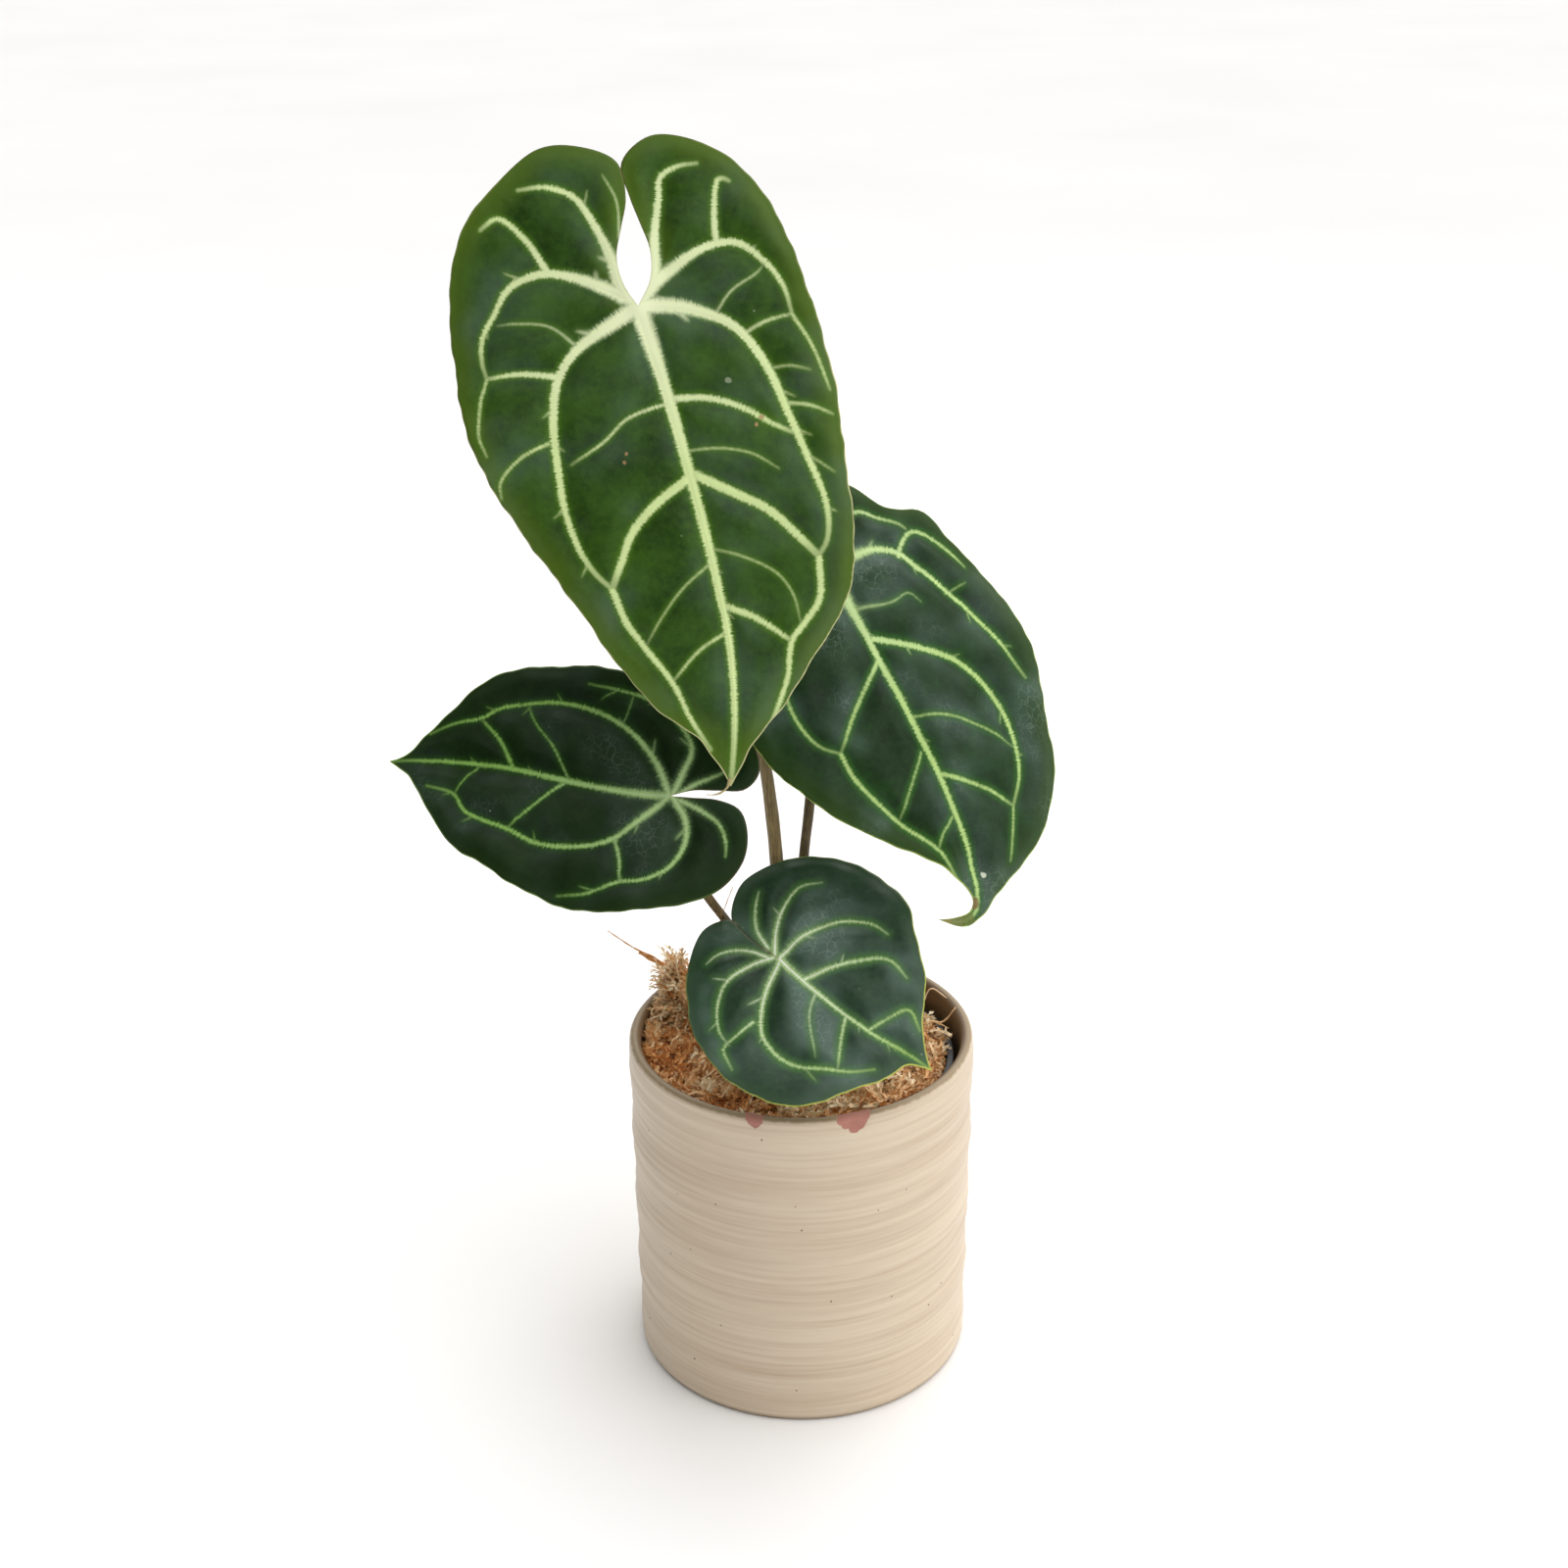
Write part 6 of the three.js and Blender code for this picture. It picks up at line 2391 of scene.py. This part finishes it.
BLADES = (
    Blade(
        "leaf_tall", "blade_tall", "young_leaf", TALL_FORM,
        # The youngest blade: olive green, its veins broad and nearly white.
        LeafFinish(
            "velvet_leaf_olive", 0.4, deep="1d3808", mid="395a16", rim="526c1a",
            halo="4d7816", vein="d6e8a2", joint="ecf3c6", border="d4cf98", rim_width=11.0,
            scars=(
                Scar((29, 50.5), 1.0, "b08a62"), Scar((31, 48.5), 0.8, "b08a62"),
                Scar((-18, 50), 0.7, "a5835c"), Scar((-19.5, 53), 0.6, "a5835c"),
                Scar((23, 34), 0.9, "8d9a7c"),
            ),
            specular=0.2, seed=1.0,
        ),
        UNDERSIDE, 1,
    ),
    Blade(
        "leaf_right", "blade_right", "leaf", RIGHT_FORM,
        # Older, scratched by handling, its drip tip drying out, with a strong painted grey-blue
        # sheen.
        LeafFinish(
            "velvet_leaf_blue_green", 0.42, deep="0e2409", mid="1e3d17", rim="31491a",
            halo="35681f", vein="b3d080", joint="c6dc9c", border="a8bb58", rim_width=11.0,
            painted_sheen=0.36, scuffs=0.18, glow=0.7, glow_reach=3.0, specular=0.16, seed=2.0,
            scars=(
                Scar((8, 131.5), 0.9, "dfe6cf"), Scar((-3, 145.6), 2.8, "66713a"),
                Scar((-8, 145.6), 2.8, "747647"), Scar((-13, 143.5), 3.4, "84744a"),
                Scar((0.8, 140.5), 2.0, "76583a"),
            ),
        ),
        UNDERSIDE, 2, dents=((8, 128, 9, 1.6), (14, 118, 8, -1.0)),
    ),
    Blade(
        "leaf_left", "blade_left", "leaf", LEFT_FORM,
        # In the shade of the tall blade, the darkest of the four: that shade is painted into its
        # colours.
        LeafFinish(
            "velvet_leaf_dark", 0.45, deep="0b1e05", mid="172d0b", rim="1b300c",
            halo="274f10", vein="86b058", joint="a0bc7c", border="86a050", rim_width=6.0,
            painted_sheen=0.12, scuffs=0.1, glow=0.6, glow_reach=2.6, joint_fog=1.3,
            joint_white=0.3, specular=0.14, seed=3.0,
        ),
        UNDERSIDE, 3,
    ),
    Blade(
        "leaf_low", "blade_low", "leaf", LOW_FORM,
        # The lowest, with the strongest painted grey sheen.
        LeafFinish(
            "velvet_leaf_bloomed", 0.38, deep="1c3220", mid="324b35", rim="364f34",
            halo="4c7a38", vein="98ba62", joint="b6cf92", border="c4cc58", rim_width=6.0,
            painted_sheen=0.6, scuffs=0.3, glow=0.7, glow_reach=3.4, centre_line=0.9,
            joint_fog=1.2, joint_white=0.3, specular=0.26, seed=4.0,
        ),
        UNDERSIDE, 4, spacing=1.2, dents=((14, 30, 9, 1.3), (20, 38, 5, -0.8)),
    ),
)

ROOTLETS = (
    Fibre(((-50, 34, 140), (-58, 35, 152), (-68, 35, 158), (-78.5, 35, 166)), (1.1, 0.4), 0.5),
    Fibre(((-30, 30, 150), (-33, 33, 168), (-30, 35, 178), (-27, 35, 186)), (0.6, 0.25), 0.4),
    Fibre(((-42, 33, 140), (-52, 35, 148), (-60, 35, 152), (-66, 35, 156)), (3.0, 1.2), 0.5),
    Fibre(((45, 22, 128), (50, 25, 138), (53, 25, 144), (60, 25, 139)), (1.0, 0.5), 0.85),
    Fibre(((46, 8, 127), (52, 10, 137), (57, 10, 137), (62, 10, 143.6)), (1.2, 0.5), 0.7),
    Fibre(((54, 10, 137), (57, 10, 135.5), (59.5, 10, 134)), (0.9, 0.4), 0.7),
)

# The tall blade's dried drip tip, curled to the left.
TIP_TAILS = (
    Fibre(
        ((-24.7, -45, 269.5), (-25.8, -46, 266.4), (-28, -47.3, 264.9), (-30.4, -48, 264.4),
         (-33.2, -48.7, 264.8)),
        (1.3, 0.3), 0.58,
    ),
)

CHIPS = (
    Chip(((-17.4, 139.0, 3.0), (-19.0, 140.0, 2.0))),
    Chip(((17.0, 139.0, 3.6), (21.0, 138.0, 3.6), (19.5, 136.2, 2.6), (23.4, 139.6, 2.2))),
)

SOFTBOXES = (
    Softbox("back_box", (0.25, 0.95, 1.45), (0, 0, 0.3), (1.6, 0.8), 8.0),
    Softbox("side_box", (1.1, -0.5, 1.0), (0, 0, 0.2), (0.9, 1.2), 2.5),
)

DAYLIGHT = Daylight((0.45, -0.5, 1.6), 90.0, 0.92)


def main() -> None:
    """Build the studio and every piece of the plant, in order."""
    logging.basicConfig(level=logging.INFO, format="%(name)s: %(message)s")
    Studio(SOFTBOXES, DAYLIGHT).build()
    # Half-matt glaze, which gives the pot one broad soft highlight.
    Cachepot(StonewareFinish("beige_stoneware_glaze", 0.42, chips=CHIPS)).dress()
    # Satin moulded plastic: near black, with a narrow grey sheen on its rolled rim.
    GrowPot(PlasticFinish("black_polypropylene", 0.38, 1.49)).dress()
    # Dry plant fibre has no shine at all.
    sphagnum = MossFinish("dried_sphagnum", 0.9)
    bed = MossBed()
    bed.dress(sphagnum)
    count = 1500
    StrandField("moss_strands", bed, sphagnum, count, seed=11, tone=0.64).dress()
    StrandField(
        "moss_straw", bed, sphagnum, count * 3 // 5, seed=12, tone=0.92, length=(8, 18)
    ).dress()
    SpillField("moss_spill", bed, sphagnum, count // 3, seed=14, tone=0.7).dress()
    TuftField(
        "moss_tuft", bed, sphagnum, count // 2, seed=13, tone=0.88, length=(9, 20), joints=7
    ).dress()
    Rootlets(ROOTLETS, sphagnum).dress()
    Crown(STALKS, StalkFinish("corky_stalk_skin", 0.5), sphagnum).dress()
    for blade in BLADES:
        blade.dress()
    dried_tip = MossFinish("dried_leaf_tip", 0.8, stops=((0.2, "7a6840"), (0.8, "c2b284")))
    Rootlets(TIP_TAILS, dried_tip, "leaf_tip_tail", "young_leaf").dress()


if __name__ == "__main__":
    main()
